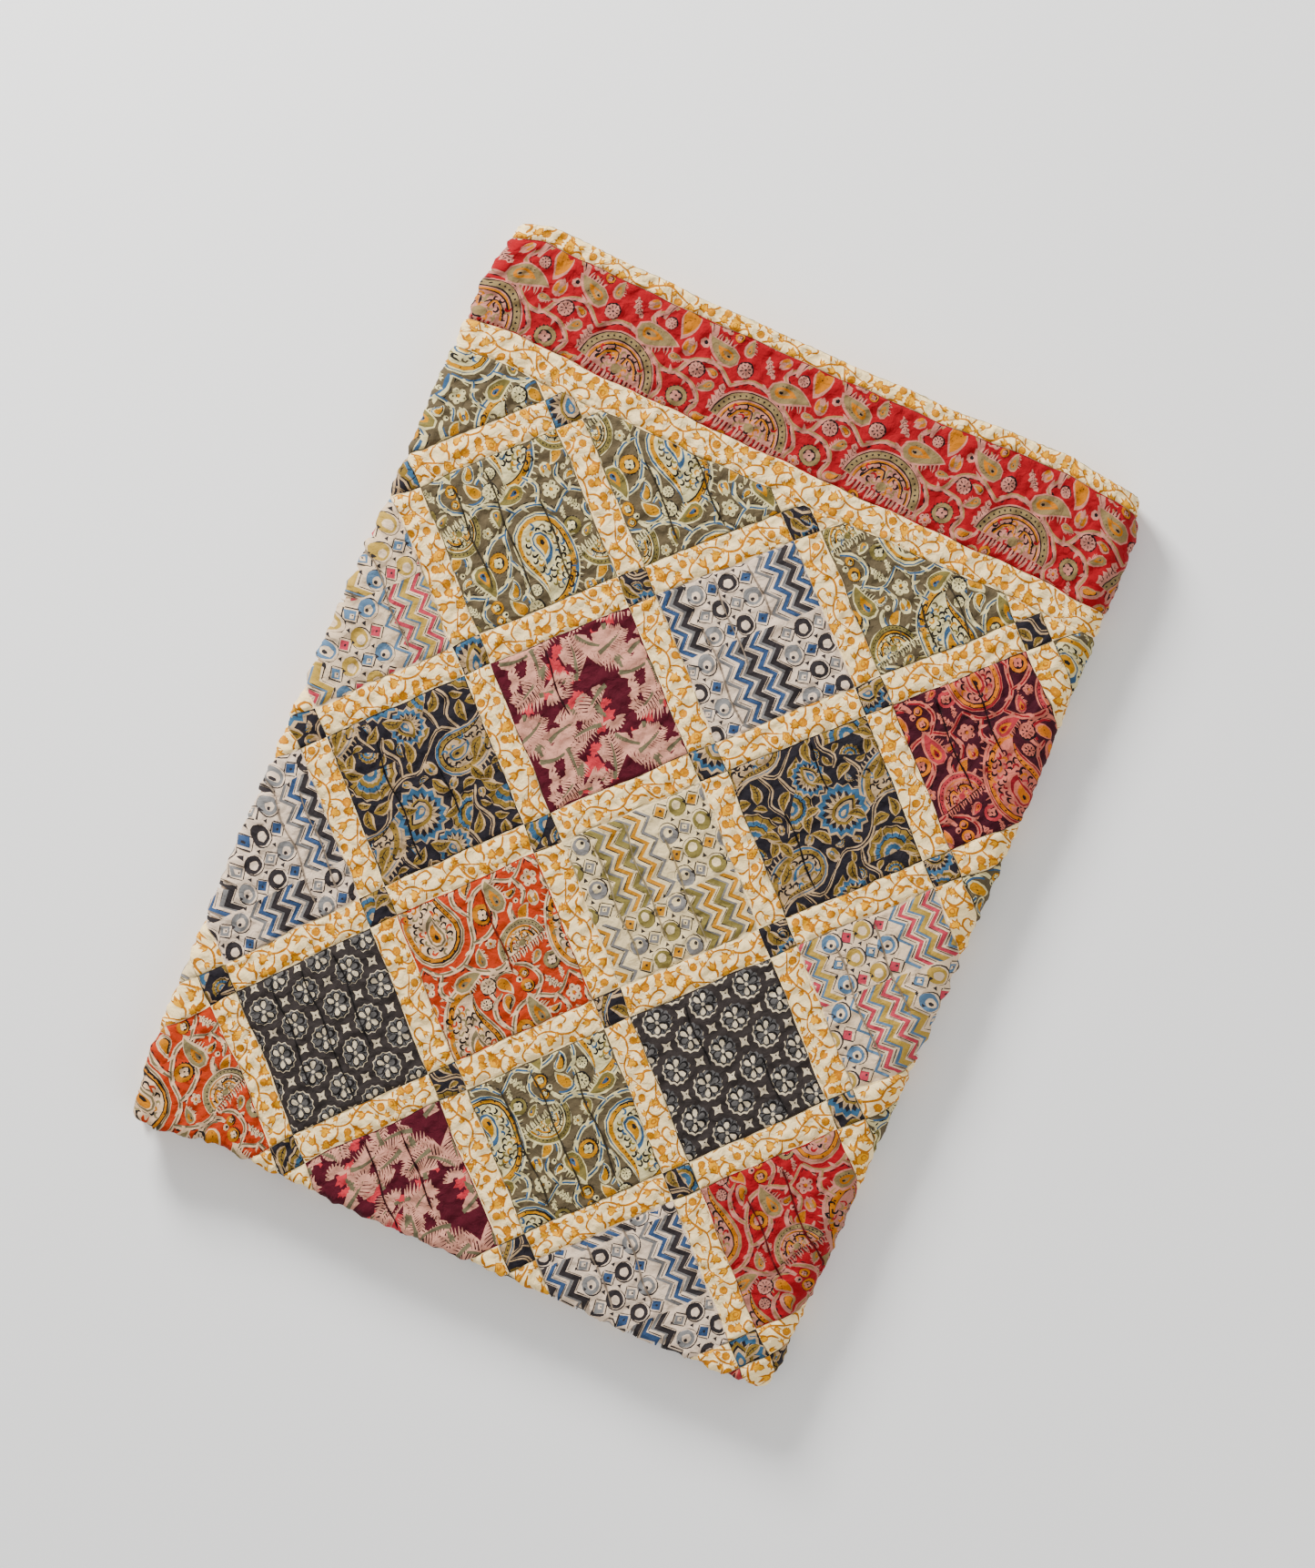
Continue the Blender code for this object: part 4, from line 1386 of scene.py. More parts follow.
@dataclass(frozen=True)
class Cotton:
    """Plain-woven cotton, dyed or block printed and washed soft.

    It is dull, slightly fuzzy at a low angle, and its thread shows as a fine even tooth.
    """

    name: str
    roughness: float = 0.88
    sheen: float = 0.03
    thread_mm: float = 1.3
    tooth: float = 0.22
    crinkle_mm: float = 7.0
    crinkle: float = 0.8

    @staticmethod
    def node(
        tree: bpy.types.NodeTree, kind: str, links: dict[str | int, bpy.types.NodeSocket],
        **values: object
    ) -> bpy.types.Node:
        """Adds a node with its settings and links.

        Args:
            tree: The material's node tree.
            kind: The node's type.
            links: Sockets to join to the node's inputs, by the input's name or number.
            values: Settings by name, where a socket's default is in_ and its name.

        Returns:
            The new node.
        """
        made = tree.nodes.new(kind)
        for name, value in values.items():
            if name.startswith("in_"):
                made.inputs[name[3:].replace("_", " ")].default_value = value
            else:
                setattr(made, name, value)
        for name, socket in links.items():
            tree.links.new(socket, made.inputs[name])
        return made

    def material(self) -> bpy.types.Material:
        """Builds the cloth's material, which reads its dyes from the piece's own colours."""
        made = bpy.data.materials.new(self.name)
        made.use_nodes = True
        tree = made.node_tree
        shader = tree.nodes["Principled BSDF"]
        node = partial(self.node, tree)
        dye = node("ShaderNodeAttribute", {}, attribute_name="dye")
        place = {"Vector": node("ShaderNodeUVMap", {}, uv_map="cloth").outputs["UV"]}
        # Uneven take-up of the dye, a hand's breadth across, and the slubs of single threads
        shades = []
        for scale, detail, low, high in ((38.0, 3.0, 0.93, 1.06), (900.0, 2.0, 0.9, 1.08)):
            noise = node("ShaderNodeTexNoise", place, in_Scale=scale, in_Detail=detail)
            shade = node("ShaderNodeMapRange", {"Value": noise.outputs["Fac"]}, in_From_Min=0.3,
                         in_From_Max=0.7, in_To_Min=low, in_To_Max=high)
            shades.append(shade.outputs["Result"])
        shade = node("ShaderNodeMath", dict(enumerate(shades)), operation="MULTIPLY")
        shaded = {0: dye.outputs["Color"], "Scale": shade.outputs["Value"]}
        coloured = node("ShaderNodeVectorMath", shaded, operation="SCALE")
        tree.links.new(coloured.outputs["Vector"], shader.inputs["Base Color"])
        # Warp and weft, drawn coarser than the real 0.4 mm thread so that they show
        scale = 1.0 / (self.thread_mm * MM) / 6.283 * 2
        threads = {}
        for number, way in enumerate("XY"):
            thread = node("ShaderNodeTexWave", place, bands_direction=way, in_Scale=scale,
                          in_Distortion=1.2, in_Detail=1.0)
            threads[number] = thread.outputs["Fac"]
        weave = node("ShaderNodeMath", threads, operation="ADD")
        fine = node("ShaderNodeBump", {"Height": weave.outputs["Value"]}, in_Strength=self.tooth,
                    in_Distance=0.0002)
        # Small crinkles that washing leaves between the quilting stitches
        crease = node("ShaderNodeTexNoise", place, in_Scale=1.0 / (self.crinkle_mm * MM),
                      in_Detail=3.0, in_Roughness=0.55, in_Distortion=0.6)
        heights = {"Height": crease.outputs["Fac"], "Normal": fine.outputs["Normal"]}
        broad = node("ShaderNodeBump", heights, in_Strength=self.crinkle, in_Distance=0.003)
        tree.links.new(broad.outputs["Normal"], shader.inputs["Normal"])
        shader.inputs["Roughness"].default_value = self.roughness
        shader.inputs["Sheen Weight"].default_value = self.sheen
        shader.inputs["Sheen Roughness"].default_value = 0.6
        shader.inputs["Specular IOR Level"].default_value = 0.08
        return made


# Block-printed cotton: matt, with soft-edged dyes that sink into the cloth
PRINTED_COTTON = Cotton("block_printed_cotton")
# Cream cambric with mustard print: finer, a little smoother and paler
PRINTED_CAMBRIC = Cotton("mustard_printed_cambric", roughness=0.84, thread_mm=1.1, tooth=0.16)
# Undyed muslin backing: plain and soft
MUSLIN = Cotton("undyed_muslin_backing", roughness=0.92, tooth=0.3)


@dataclass
class Relief:
    """Height that wadding, quilting and washing give the face of the cloth, in millimetres."""

    cloth: FoldedCloth
    lattice: Lattice
    crown: float = 1.7
    sashing_crown: float = 0.9
    seam_dip: float = 1.7
    seam_reach: float = 2.8
    pucker: float = 0.8
    tuck_depth: float = 2.2
    tuck_reach: float = 2.2
    tuck_lip: float = 1.1
    tuck_rows: tuple[float, ...] = (-3.4, -1.7, 1.7, 3.4)
    seed: int = 7

    def __post_init__(self) -> None:
        """Draws the directions and lengths of the small puckers."""
        draw = np.random.default_rng(self.seed)
        angle = draw.uniform(0, math.pi, 14)
        length = draw.uniform(9.0, 24.0, 14)
        waves = np.stack([np.cos(angle) / length, np.sin(angle) / length], axis=-1)
        self.waves = waves * 2 * math.pi
        self.phases = draw.uniform(0, 2 * math.pi, 14)

    @staticmethod
    def sway(run: Points, start: Points) -> Points:
        """How far a tuck strays to its left along its way."""
        return 1.3 * np.sin(run / 11.0 + start[0])

    def puckers(self, s: Points, t: Points) -> Points:
        """Small uneven waves all over the cloth."""
        total = np.zeros_like(s)
        for (along, down), phase in zip(self.waves, self.phases):
            total += np.sin(along * s + down * t + phase)
        return self.pucker * total / math.sqrt(len(self.phases) / 2)

    def patch(self, s: Points, t: Points) -> Points:
        """Crown of each square and of each sashing strip."""
        p, q = self.lattice.place(self.cloth, s, t)
        half = self.lattice.half_sashing
        along = (p - np.floor(p) - half) / (1 - 2 * half)
        over = (q - np.floor(q) - half) / (1 - 2 * half)
        inside = (along > 0) & (along < 1) & (over > 0) & (over < 1)
        dome = np.sin(np.clip(along, 0, 1) * math.pi) * np.sin(np.clip(over, 0, 1) * math.pi)
        near = np.minimum(np.abs(p - np.round(p)), np.abs(q - np.round(q))) / half
        strip = np.clip(1 - near**2, 0, 1)
        crown = self.crown * np.sqrt(np.clip(dome, 0, 1))
        return np.where(inside, crown, self.sashing_crown * strip)


def per_corner(mesh: bpy.types.Mesh, values: Points) -> Points:
    """The faces' values, once for each of their corners."""
    return np.repeat(values, [polygon.loop_total for polygon in mesh.polygons], axis=0)


def corner_points(mesh: bpy.types.Mesh) -> np.ndarray:
    """Number of the point at each corner."""
    corner = np.empty(len(mesh.loops), int)
    mesh.loops.foreach_get("vertex_index", corner)
    return corner


def new_object(name: str, data: bpy.types.ID) -> bpy.types.Object:
    """A new object, linked into the scene."""
    made = bpy.data.objects.new(name, data)
    bpy.context.scene.collection.objects.link(made)
    return made


def reaching(marks: list[Mark], low: Points, high: Points) -> list[Mark]:
    """The marks that reach into a rectangle."""
    return [
        (dye, points) for dye, points in marks
        if (points.min(axis=0) < high).all() and (points.max(axis=0) > low).all()
    ]


def ring_area(points: Points) -> float:
    """Signed area of a closed outline."""
    x, y = points[:, 0], points[:, 1]
    return 0.5 * float(np.sum(x * np.roll(y, -1) - np.roll(x, -1) * y))


def clipped(points: Points, window: Points) -> Points:
    """The part of a convex outline inside another one.

    Args:
        points: The outline.
        window: Corners of the convex window, in the turning direction from s to t.

    Returns:
        The outline that is left, empty where there is none.
    """
    outline = list(points)
    for start, end in zip(window, np.roll(window, -1, axis=0)):
        along = end - start
        kept = []
        for k, here in enumerate(outline):
            after = outline[(k + 1) % len(outline)]
            here_in = along[0] * (here - start)[1] - along[1] * (here - start)[0]
            after_in = along[0] * (after - start)[1] - along[1] * (after - start)[0]
            if here_in >= 0:
                kept.append(here)
            if (here_in >= 0) != (after_in >= 0):
                kept.append(here + (after - here) * here_in / (here_in - after_in))
        outline = kept
        if len(outline) < 3:
            return np.zeros((0, 2))
    made = np.array(outline)
    keep = np.linalg.norm(made - np.roll(made, 1, axis=0), axis=1) > 0.05
    return made[keep]


@dataclass
class ClothPiece:
    """One piece of printed cloth, cut flat and laid into the folded pack as a thin closed shell.

    The ground is convex, with its corners in the turning direction from s to t.
    """

    name: str
    cloth: FoldedCloth
    relief: Relief
    ground: Points
    palette: Palette
    marks: list[Mark]
    detail: Detail
    creases: list[tuple[Points, Points]] = field(default_factory=list)
    spacing: float = 4.2
    under_spacing: float = 26.0
    under_margin: float = 6.0
    rim_insets: tuple[float, float] = (1.1, 2.8)
    underside: float = 0.9
    bound_edge: str = ""
    edge_radius: float = 3.2
    dome: float = 0.0
    dome_reach: float = 30.0
    # Shortest side, in mm, that gets a painted shadow line along its seam
    shortest_seam: float = 12.0

    def inside(self, points: Points, margin: float) -> np.ndarray:
        """Which points lie in the ground by more than the margin."""
        return self.edge_distance(points) > margin

    def sides(self) -> zip:
        """Start and end of each side of the ground."""
        return zip(self.ground, np.roll(self.ground, -1, axis=0))

    def edge_distance(self, points: Points) -> Points:
        """Distance of each point from the nearest side of the convex ground, negative outside."""
        nearest = np.full(len(points), 1e9)
        for start, end in self.sides():
            along = (end - start) / max(np.linalg.norm(end - start), 1e-9)
            away = (points - start) @ np.array([-along[1], along[0]])
            nearest = np.minimum(nearest, away)
        return nearest

    def height(self, s: Points, t: Points) -> Points:
        """Height of the face over the middle of the cloth."""
        relief = self.relief
        flat = np.stack([s, t], axis=-1)
        away = np.maximum(self.edge_distance(flat), 0.0)
        raised = relief.puckers(s, t)
        if self.dome:
            raised = raised + self.dome * np.clip(away / self.dome_reach, 0, 1) ** 0.5
        else:
            raised = raised + relief.patch(s, t)
        raised = raised - relief.seam_dip * (1 - eased(away, 0.0, relief.seam_reach))
        for start, end in self.creases:
            along = end - start
            length = np.linalg.norm(along)
            along = along / length
            offset = flat - start
            run = offset @ along
            side = offset @ np.array([-along[1], along[0]]) - relief.sway(run, start)
            fade = eased(run, -6.0, 8.0) * (1 - eased(run, length - 8.0, length + 6.0))
            groove = np.exp(-((side / (relief.tuck_reach * 0.45)) ** 2))
            lip = np.exp(-(((side - relief.tuck_reach * 1.7) / (relief.tuck_reach * 1.6)) ** 2))
            raised = raised + fade * (relief.tuck_lip * lip - relief.tuck_depth * groove)
        raised = raised * self.cloth.exposed(s, t) + self.cloth.sizes.thickness / 2
        return raised * self.edge_rounding(s, t)

    def edge_rounding(self, s: Points, t: Points) -> Points:
        """Share of the thickness near a bound outer edge, 1 elsewhere."""
        if not self.bound_edge:
            return np.ones_like(s)
        edges = {
            "upper": t, "lower": self.cloth.total_down - t,
            "under": s, "inner": self.cloth.total_across - s,
        }
        away = np.clip(edges[self.bound_edge], 0.0, self.edge_radius) / self.edge_radius
        return np.sqrt(np.clip(1 - (1 - away) ** 2, 0.0004, 1))

    def laid(self, flat: Points, height: Points) -> Points:
        """Places of the piece's points, with a bound outer edge drawn in between its stitches."""
        s, t = flat[:, 0], flat[:, 1]
        if self.bound_edge == "upper":
            pull = 0.9 * np.abs(np.sin(s / 3.9 + 0.8 * np.sin(s / 17.0))) + 0.5 * np.sin(s / 13.0)
            t = t + pull * (1 - eased(t, 0.0, 16.0))
        return self.cloth.place(s, t, height)

    def outline(self) -> Points:
        """The ground's outline with points close enough together for the folds."""
        made = []
        for start, end in self.sides():
            steps = max(1, int(np.linalg.norm(end - start) / self.spacing))
            made += [start + (end - start) * k / steps for k in range(steps)]
        return np.array(made)

    def fold_lines(self) -> list[Points]:
        """Lines of points along each fold that crosses the piece."""
        low, high = self.ground.min(axis=0) - 1.0, self.ground.max(axis=0) + 1.0
        lines = []
        step = self.spacing * 1.3
        cloth = self.cloth
        ways = ((cloth.across, cloth.across_ends), (cloth.down, cloth.down_ends))
        for axis, (runs, ends) in enumerate(ways):
            for run, start in zip(runs, ends):
                if not run.turn:
                    continue
                for k in range(run.steps + 1):
                    place = start + run.length * k / run.steps
                    if low[axis] < place < high[axis]:
                        other = np.arange(low[1 - axis], high[1 - axis] + step, step)
                        line = np.full((len(other), 2), place)
                        line[:, 1 - axis] = other
                        lines.append(line)
        return lines

    def inner_points(self, spacing: float, margin: float) -> Points:
        """Even staggered points inside the ground."""
        low, high = self.ground.min(axis=0), self.ground.max(axis=0)
        rows = np.arange(low[1], high[1], spacing * 0.87)
        columns = np.arange(low[0], high[0], spacing)
        points = np.vstack([
            np.stack([columns + (k % 2) * spacing / 2, np.full_like(columns, row)], axis=-1)
            for k, row in enumerate(rows)
        ])
        return points[self.inside(points, margin)]

    def rim_points(self) -> Points:
        """Points just inside the seams, where the face dips into them."""
        rows = []
        for inset in self.rim_insets:
            middle = self.ground.mean(axis=0)
            reach = np.linalg.norm(self.outline() - middle, axis=1, keepdims=True)
            moved = self.outline() - (self.outline() - middle) / reach * inset * 1.3
            rows.append(moved)
        points = np.vstack(rows)
        return points[self.inside(points, 0.5)]

    @staticmethod
    def topmost(flat: Points, triangles: np.ndarray, marks: list[Points]) -> np.ndarray:
        """Number of the last mark over each triangle, counted from 1, or 0 where there is none."""
        centres = flat[triangles].mean(axis=1)
        order = np.argsort(centres[:, 0])
        placed = centres[order]
        tops = np.zeros(len(triangles), int)
        for number, mark in enumerate(marks, 1):
            low, high = mark.min(axis=0), mark.max(axis=0)
            first, last = np.searchsorted(placed[:, 0], (low[0], high[0]))
            near = np.arange(first, last)
            near = near[(placed[near, 1] > low[1]) & (placed[near, 1] < high[1])]
            if not len(near):
                continue
            x, y = placed[near, 0][:, None], placed[near, 1][:, None]
            x1, y1 = mark[:, 0], mark[:, 1]
            x2, y2 = np.roll(x1, -1), np.roll(y1, -1)
            rise = np.where(y2 == y1, 1e-9, y2 - y1)
            right = (x2 - x1) * (y - y1) / rise + x1 > x
            rising = ((y1 <= y) & (y2 > y) & right).sum(axis=1)
            winding = rising - ((y1 > y) & (y2 <= y) & right).sum(axis=1)
            tops[order[near[winding != 0]]] = number
        return tops

    def visible(
        self, outline: Points, marks: list[Points], dyes: list[str]
    ) -> tuple[Points, np.ndarray]:
        """Places and edges of the lines where two dyes meet, without what a later mark covers."""
        if not marks:
            return np.zeros((0, 2)), np.zeros((0, 2), int)
        places, edges = np.vstack(marks), []
        first = 0
        for mark in marks:
            edges += [(first + k, first + (k + 1) % len(mark)) for k in range(len(mark))]
            first += len(mark)
        flat, triangles = self.net(outline, places, edges, np.zeros((0, 2)))
        inks = np.unique(["ground"] + dyes, return_inverse=True)[1]
        seen = inks[self.topmost(flat, triangles, marks)]
        pairs = np.vstack([triangles[:, ends] for ends in ((0, 1), (1, 2), (2, 0))])
        pairs = np.sort(pairs, axis=1)
        keys = pairs[:, 0] * len(flat) + pairs[:, 1]
        order = np.argsort(keys, kind="stable")
        same = keys[order][1:] == keys[order][:-1]
        ink = np.tile(seen, 3)[order]
        kept = pairs[order[:-1][same & (ink[1:] != ink[:-1])]]
        used, moved = np.unique(kept, return_inverse=True)
        return flat[used], moved.reshape(-1, 2)

    def net(
        self, outline: Points, places: Points, edges: list[tuple[int, int]], loose: Points
    ) -> tuple[Points, np.ndarray]:
        """Cuts the ground into triangles along the edges.

        Args:
            outline: The ground's outline.
            places: Points that the edges join.
            edges: Pairs of the points' numbers.
            loose: More points, for the relief.

        Returns:
            The points in the flat and the triangles.
        """
        first = len(outline)
        corners = [Vector(place) for place in np.vstack([outline, places, loose])]
        joined = [(first + int(k), first + int(j)) for k, j in edges]
        wanted = abs(ring_area(outline))
        for turn in range(4):
            ring = list(range(turn, first)) + list(range(turn))
            made = delaunay_2d_cdt(corners, joined, [ring], 1, 1e-3, True)
            flat = np.array([tuple(v) for v in made[0]])
            triangles = np.array([made[2][k] for k, sources in enumerate(made[5]) if sources], int)
            first_side, other_side = (flat[triangles[:, k]] - flat[triangles[:, 0]] for k in (1, 2))
            cross = first_side[:, 0] * other_side[:, 1] - first_side[:, 1] * other_side[:, 0]
            area = 0.5 * np.abs(cross).sum()
            if abs(area - wanted) < 0.01 * wanted:
                break
        return flat, triangles

    def tuck_row(self, start: Points, end: Points, aside: float) -> Points:
        """Points along a tuck's wavy line, or that far beside it."""
        reach = np.linalg.norm(end - start)
        along = (end - start) / reach
        run = np.linspace(0.02, 0.98, 22) * reach
        sway = self.relief.sway(run, start) + aside
        return start + run[:, None] * along + sway[:, None] * np.array([-along[1], along[0]])

    def shadows(self) -> list[Points]:
        """Outlines of painted shade: thin dark lines down the tucks and along the longer seams, where
        the cloth shades itself.
        """
        made = []
        # Painted shade down the middle of each tuck's groove, 1.1 to 2 mm wide
        for start, end in self.creases:
            wide = 0.78 + 0.22 * np.sin(np.arange(20) * 1.3 + start[0])
            spine = self.tuck_row(start, end, 0.0)
            made.append(Draw.ribbon(spine, np.concatenate([[0.1], wide, [0.1]])))
        # Painted shadow along each long seam: a strip from 1 mm outside the side to about half a
        # millimetre inside it
        for start, end in self.sides():
            reach = np.linalg.norm(end - start)
            if reach < self.shortest_seam:
                continue
            share = np.linspace(0, 1, max(4, int(reach / 9)))[:, None]
            normal = np.array([start[1] - end[1], end[0] - start[0]]) / reach
            shadow = 0.5 + 0.32 * np.sin(share * reach / 7.0 + start[0])
            back = share[::-1]
            outer = start * (1 - share) + end * share - normal
            inner = (end * back + start * (1 - back)) + normal * shadow[::-1]
            made.append(np.vstack([outer, inner]))
        return made

    def build(self, material: bpy.types.Material) -> bpy.types.Object:
        """Makes the piece's mesh and object."""
        shadows = self.shadows()
        # The tuck and seam lines take the "tuck" dye: painted shade, the ground darkened where the
        # cloth shades itself
        dyes = ["ground", *(dye for dye, _ in self.marks), *["tuck"] * len(shadows)]
        outlines = [points for _, points in self.marks] + shadows
        rows = [self.inner_points(self.spacing, 1.6), self.rim_points(), *self.fold_lines()]
        for start, end in self.creases:
            rows += [self.tuck_row(start, end, aside) for aside in self.relief.tuck_rows]
        loose = np.vstack(rows)
        places, edges = self.visible(self.outline(), outlines, dyes[1:])
        flat, triangles = self.net(self.outline(), places, edges, loose[self.inside(loose, 0.2)])
        tops = self.topmost(flat, triangles, outlines)
        flat, triangles = self.used(flat, triangles)
        rim = self.boundary(triangles)
        under_rim = flat[rim]
        inner = self.inner_points(self.under_spacing, self.under_margin)
        below = np.vstack([inner, *self.fold_lines()])
        net = self.net(under_rim, np.zeros((0, 2)), [], below[self.inside(below, 0.6)])
        under_flat, under_triangles = self.used(*net)
        under_loop = [int(np.argmin(np.abs(under_flat - at).sum(axis=1))) for at in under_rim]

        upper = self.laid(flat, self.height(flat[:, 0], flat[:, 1]))
        rounding = self.edge_rounding(under_flat[:, 0], under_flat[:, 1])
        lower = self.laid(under_flat, np.full(len(under_flat), self.underside) * rounding)
        count = len(flat)
        faces = [tuple(triangle) for triangle in triangles]
        faces += [tuple(count + k for k in reversed(triangle)) for triangle in under_triangles]
        for k in range(len(rim)):
            after = (k + 1) % len(rim)
            faces.append((rim[k], count + under_loop[k], count + under_loop[after], rim[after]))

        mesh = bpy.data.meshes.new(self.name)
        mesh.from_pydata(np.vstack([upper, lower]).tolist(), [], faces)
        self.paint(mesh, dyes, tops, flat, under_flat)
        self.smooth(mesh, flat, len(triangles))
        mesh.materials.append(material)
        piece = new_object(self.name, mesh)
        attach(piece, ROOT)
        LOG.info("%s: %d faces, %d marks", self.name, len(faces), len(self.marks))
        return piece

    @staticmethod
    def used(flat: Points, triangles: np.ndarray) -> tuple[Points, np.ndarray]:
        """The points that the triangles use, and the triangles by their new numbers."""
        kept, moved = np.unique(triangles, return_inverse=True)
        return flat[kept], moved.reshape(triangles.shape)

    @staticmethod
    def boundary(triangles: np.ndarray) -> list[int]:
        """The points round the edge of a triangulated area, in order."""
        seen: dict[tuple[int, int], bool] = {}
        for a, b, c in triangles.tolist():
            for edge in ((a, b), (b, c), (c, a)):
                if edge[::-1] in seen:
                    del seen[edge[::-1]]
                else:
                    seen[edge] = True
        after = dict(seen.keys())
        start = next(iter(after))
        loop = [start]
        while after[loop[-1]] != start:
            loop.append(after[loop[-1]])
        return loop

    def paint(
        self, mesh: bpy.types.Mesh, dyes: list[str], tops: np.ndarray, flat: Points, under: Points
    ) -> None:
        """Gives each corner its dye and its flat place.

        Args:
            mesh: The piece's mesh.
            dyes: Dye names, in the order of the outlines.
            tops: The topmost outline of each upper triangle.
            flat: Flat places of the upper points.
            under: Flat places of the lower points.
        """
        colours = {name: linear(getattr(self.palette, name)) for name in DYES}
        # Painted shade: the ground at 0.35 of its brightness, for the shadow lines in the tucks and
        # seams
        colours["tuck"] = (*(0.35 * value for value in colours["ground"][:3]), 1.0)
        per_face = [colours[dyes[top]] for top in tops]
        per_face += [colours["ground"]] * (len(mesh.polygons) - len(tops))
        layer = mesh.color_attributes.new("dye", "FLOAT_COLOR", "CORNER")
        layer.data.foreach_set("color", per_corner(mesh, np.array(per_face, float)).ravel())
        places = np.vstack([flat, under]) * MM
        mesh.uv_layers.new(name="cloth").data.foreach_set("uv", places[corner_points(mesh)].ravel())

    def smooth(self, mesh: bpy.types.Mesh, flat: Points, top_count: int) -> None:
        """Shades the face by the cloth's own slope, so that the cut of the prints doesn't show."""
        step = 0.35
        slopes = []
        for move in (np.array([step, 0.0]), np.array([0.0, step])):
            after, before = flat + move, flat - move
            rise = self.laid(after, self.height(after[:, 0], after[:, 1]))
            slopes.append(rise - self.laid(before, self.height(before[:, 0], before[:, 1])))
        ahead, below = slopes
        normal = np.cross(ahead, below)
        normal /= np.maximum(np.linalg.norm(normal, axis=1, keepdims=True), 1e-12)
        mesh.shade_smooth()
        values = per_corner(mesh, np.array([tuple(polygon.normal) for polygon in mesh.polygons]))
        top_loops = top_count * 3
        values[:top_loops] = normal[corner_points(mesh)[:top_loops]]
        mesh.normals_split_custom_set(values.tolist())


@dataclass
class Core:
    """Wadding and backing in one soft sheet under the pieced face, folded through the pack."""

    cloth: FoldedCloth
    face: float = 0.6
    step: float = 26.0
    dye: str = "d9c7a4"

    def stations(self, runs: tuple[Run, ...], ends: list[float], margin: float) -> list[float]:
        """Places along the runs where the sheet has a line of points."""
        places: list[float] = []
        for run, start in zip(runs, ends):
            steps = run.steps if run.turn else max(1, round(run.length / self.step))
            places += [start + run.length * k / steps for k in range(steps)]
        inside = [place for place in places if margin + 1 < place < ends[-1] - margin - 1]
        return [margin] + inside + [ends[-1] - margin]

    def build(self, material: bpy.types.Material) -> bpy.types.Object:
        """Makes the sheet: a grid, a second one under it, and walls between their edges."""
        margin = self.cloth.sizes.binding + 0.3
        columns = self.stations(self.cloth.across, self.cloth.across_ends, margin)
        rows = self.stations(self.cloth.down, self.cloth.down_ends, margin)
        mesh = bpy.data.meshes.new("wadding_and_backing")
        work = bmesh.new()
        bmesh.ops.create_grid(work, x_segments=len(columns) - 1, y_segments=len(rows) - 1, size=0.5)
        front = list(work.verts)
        copied = bmesh.ops.duplicate(work, geom=work.verts[:] + work.edges[:] + work.faces[:])
        back = [item for item in copied["geom"] if isinstance(item, bmesh.types.BMVert)]
        back_faces = [item for item in copied["geom"] if isinstance(item, bmesh.types.BMFace)]
        bmesh.ops.reverse_faces(work, faces=back_faces)
        rims = [edge for edge in work.edges if edge.is_boundary]
        bmesh.ops.bridge_loops(work, edges=rims)
        uv_layer = work.loops.layers.uv.new("cloth")
        for verts, n in ((front, self.face), (back, -self.cloth.sizes.thickness / 2)):
            places = []
            for vert in verts:
                column = round((vert.co.x + 0.5) * (len(columns) - 1))
                places.append((columns[column], rows[round((vert.co.y + 0.5) * (len(rows) - 1))]))
            flat = np.array(places)
            laid = self.cloth.place(flat[:, 0], flat[:, 1], np.full(len(flat), n))
            for vert, place, spot in zip(verts, laid, places):
                vert.co = place
                for corner in vert.link_loops:
                    corner[uv_layer].uv = (spot[0] * MM, spot[1] * MM)
        bmesh.ops.recalc_face_normals(work, faces=work.faces[:])
        work.to_mesh(mesh)
        work.free()
        mesh.shade_smooth()
        mesh.set_sharp_from_angle(angle=math.radians(50))
        layer = mesh.color_attributes.new("dye", "FLOAT_COLOR", "CORNER")
        layer.data.foreach_set("color", np.tile(linear(self.dye), len(mesh.loops)))
        mesh.materials.append(material)
        piece = new_object("wadding_and_backing", mesh)
        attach(piece, ROOT)
        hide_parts("quilt_body")
        return piece


# Cottons of the squares over the upper panel: each row, its first column, and every second one on
PATCH_ROWS: tuple[tuple[int, int, str], ...] = (
    (0, -1, "OLIVE OLIVE OLIVE OLIVE"),
    (1, 0, "OLIVE GEO_BLUE BURGUNDY"),
    (2, -1, "GEO_PINK FEATHER NAVY OLIVE"),
    (3, -2, "FEATHER NAVY GEO_GREEN GEO_PINK"),
    (4, -1, "GEO_BLUE ORANGE MEDALLION OLIVE"),
    (5, -2, "GEO_GREEN MEDALLION OLIVE RED"),
    (6, -1, "ORANGE FEATHER GEO_BLUE NAVY"),
)
PATCH_TABLE = {
    (first + 2 * step, row): Fabric[name]
    for row, first, names in PATCH_ROWS
    for step, name in enumerate(names.split())
}
OTHER_NAMES = "NAVY OLIVE FEATHER GEO_BLUE ORANGE MEDALLION GEO_PINK BURGUNDY GEO_GREEN RED"
OTHER_FABRICS = tuple(Fabric[name] for name in OTHER_NAMES.split())

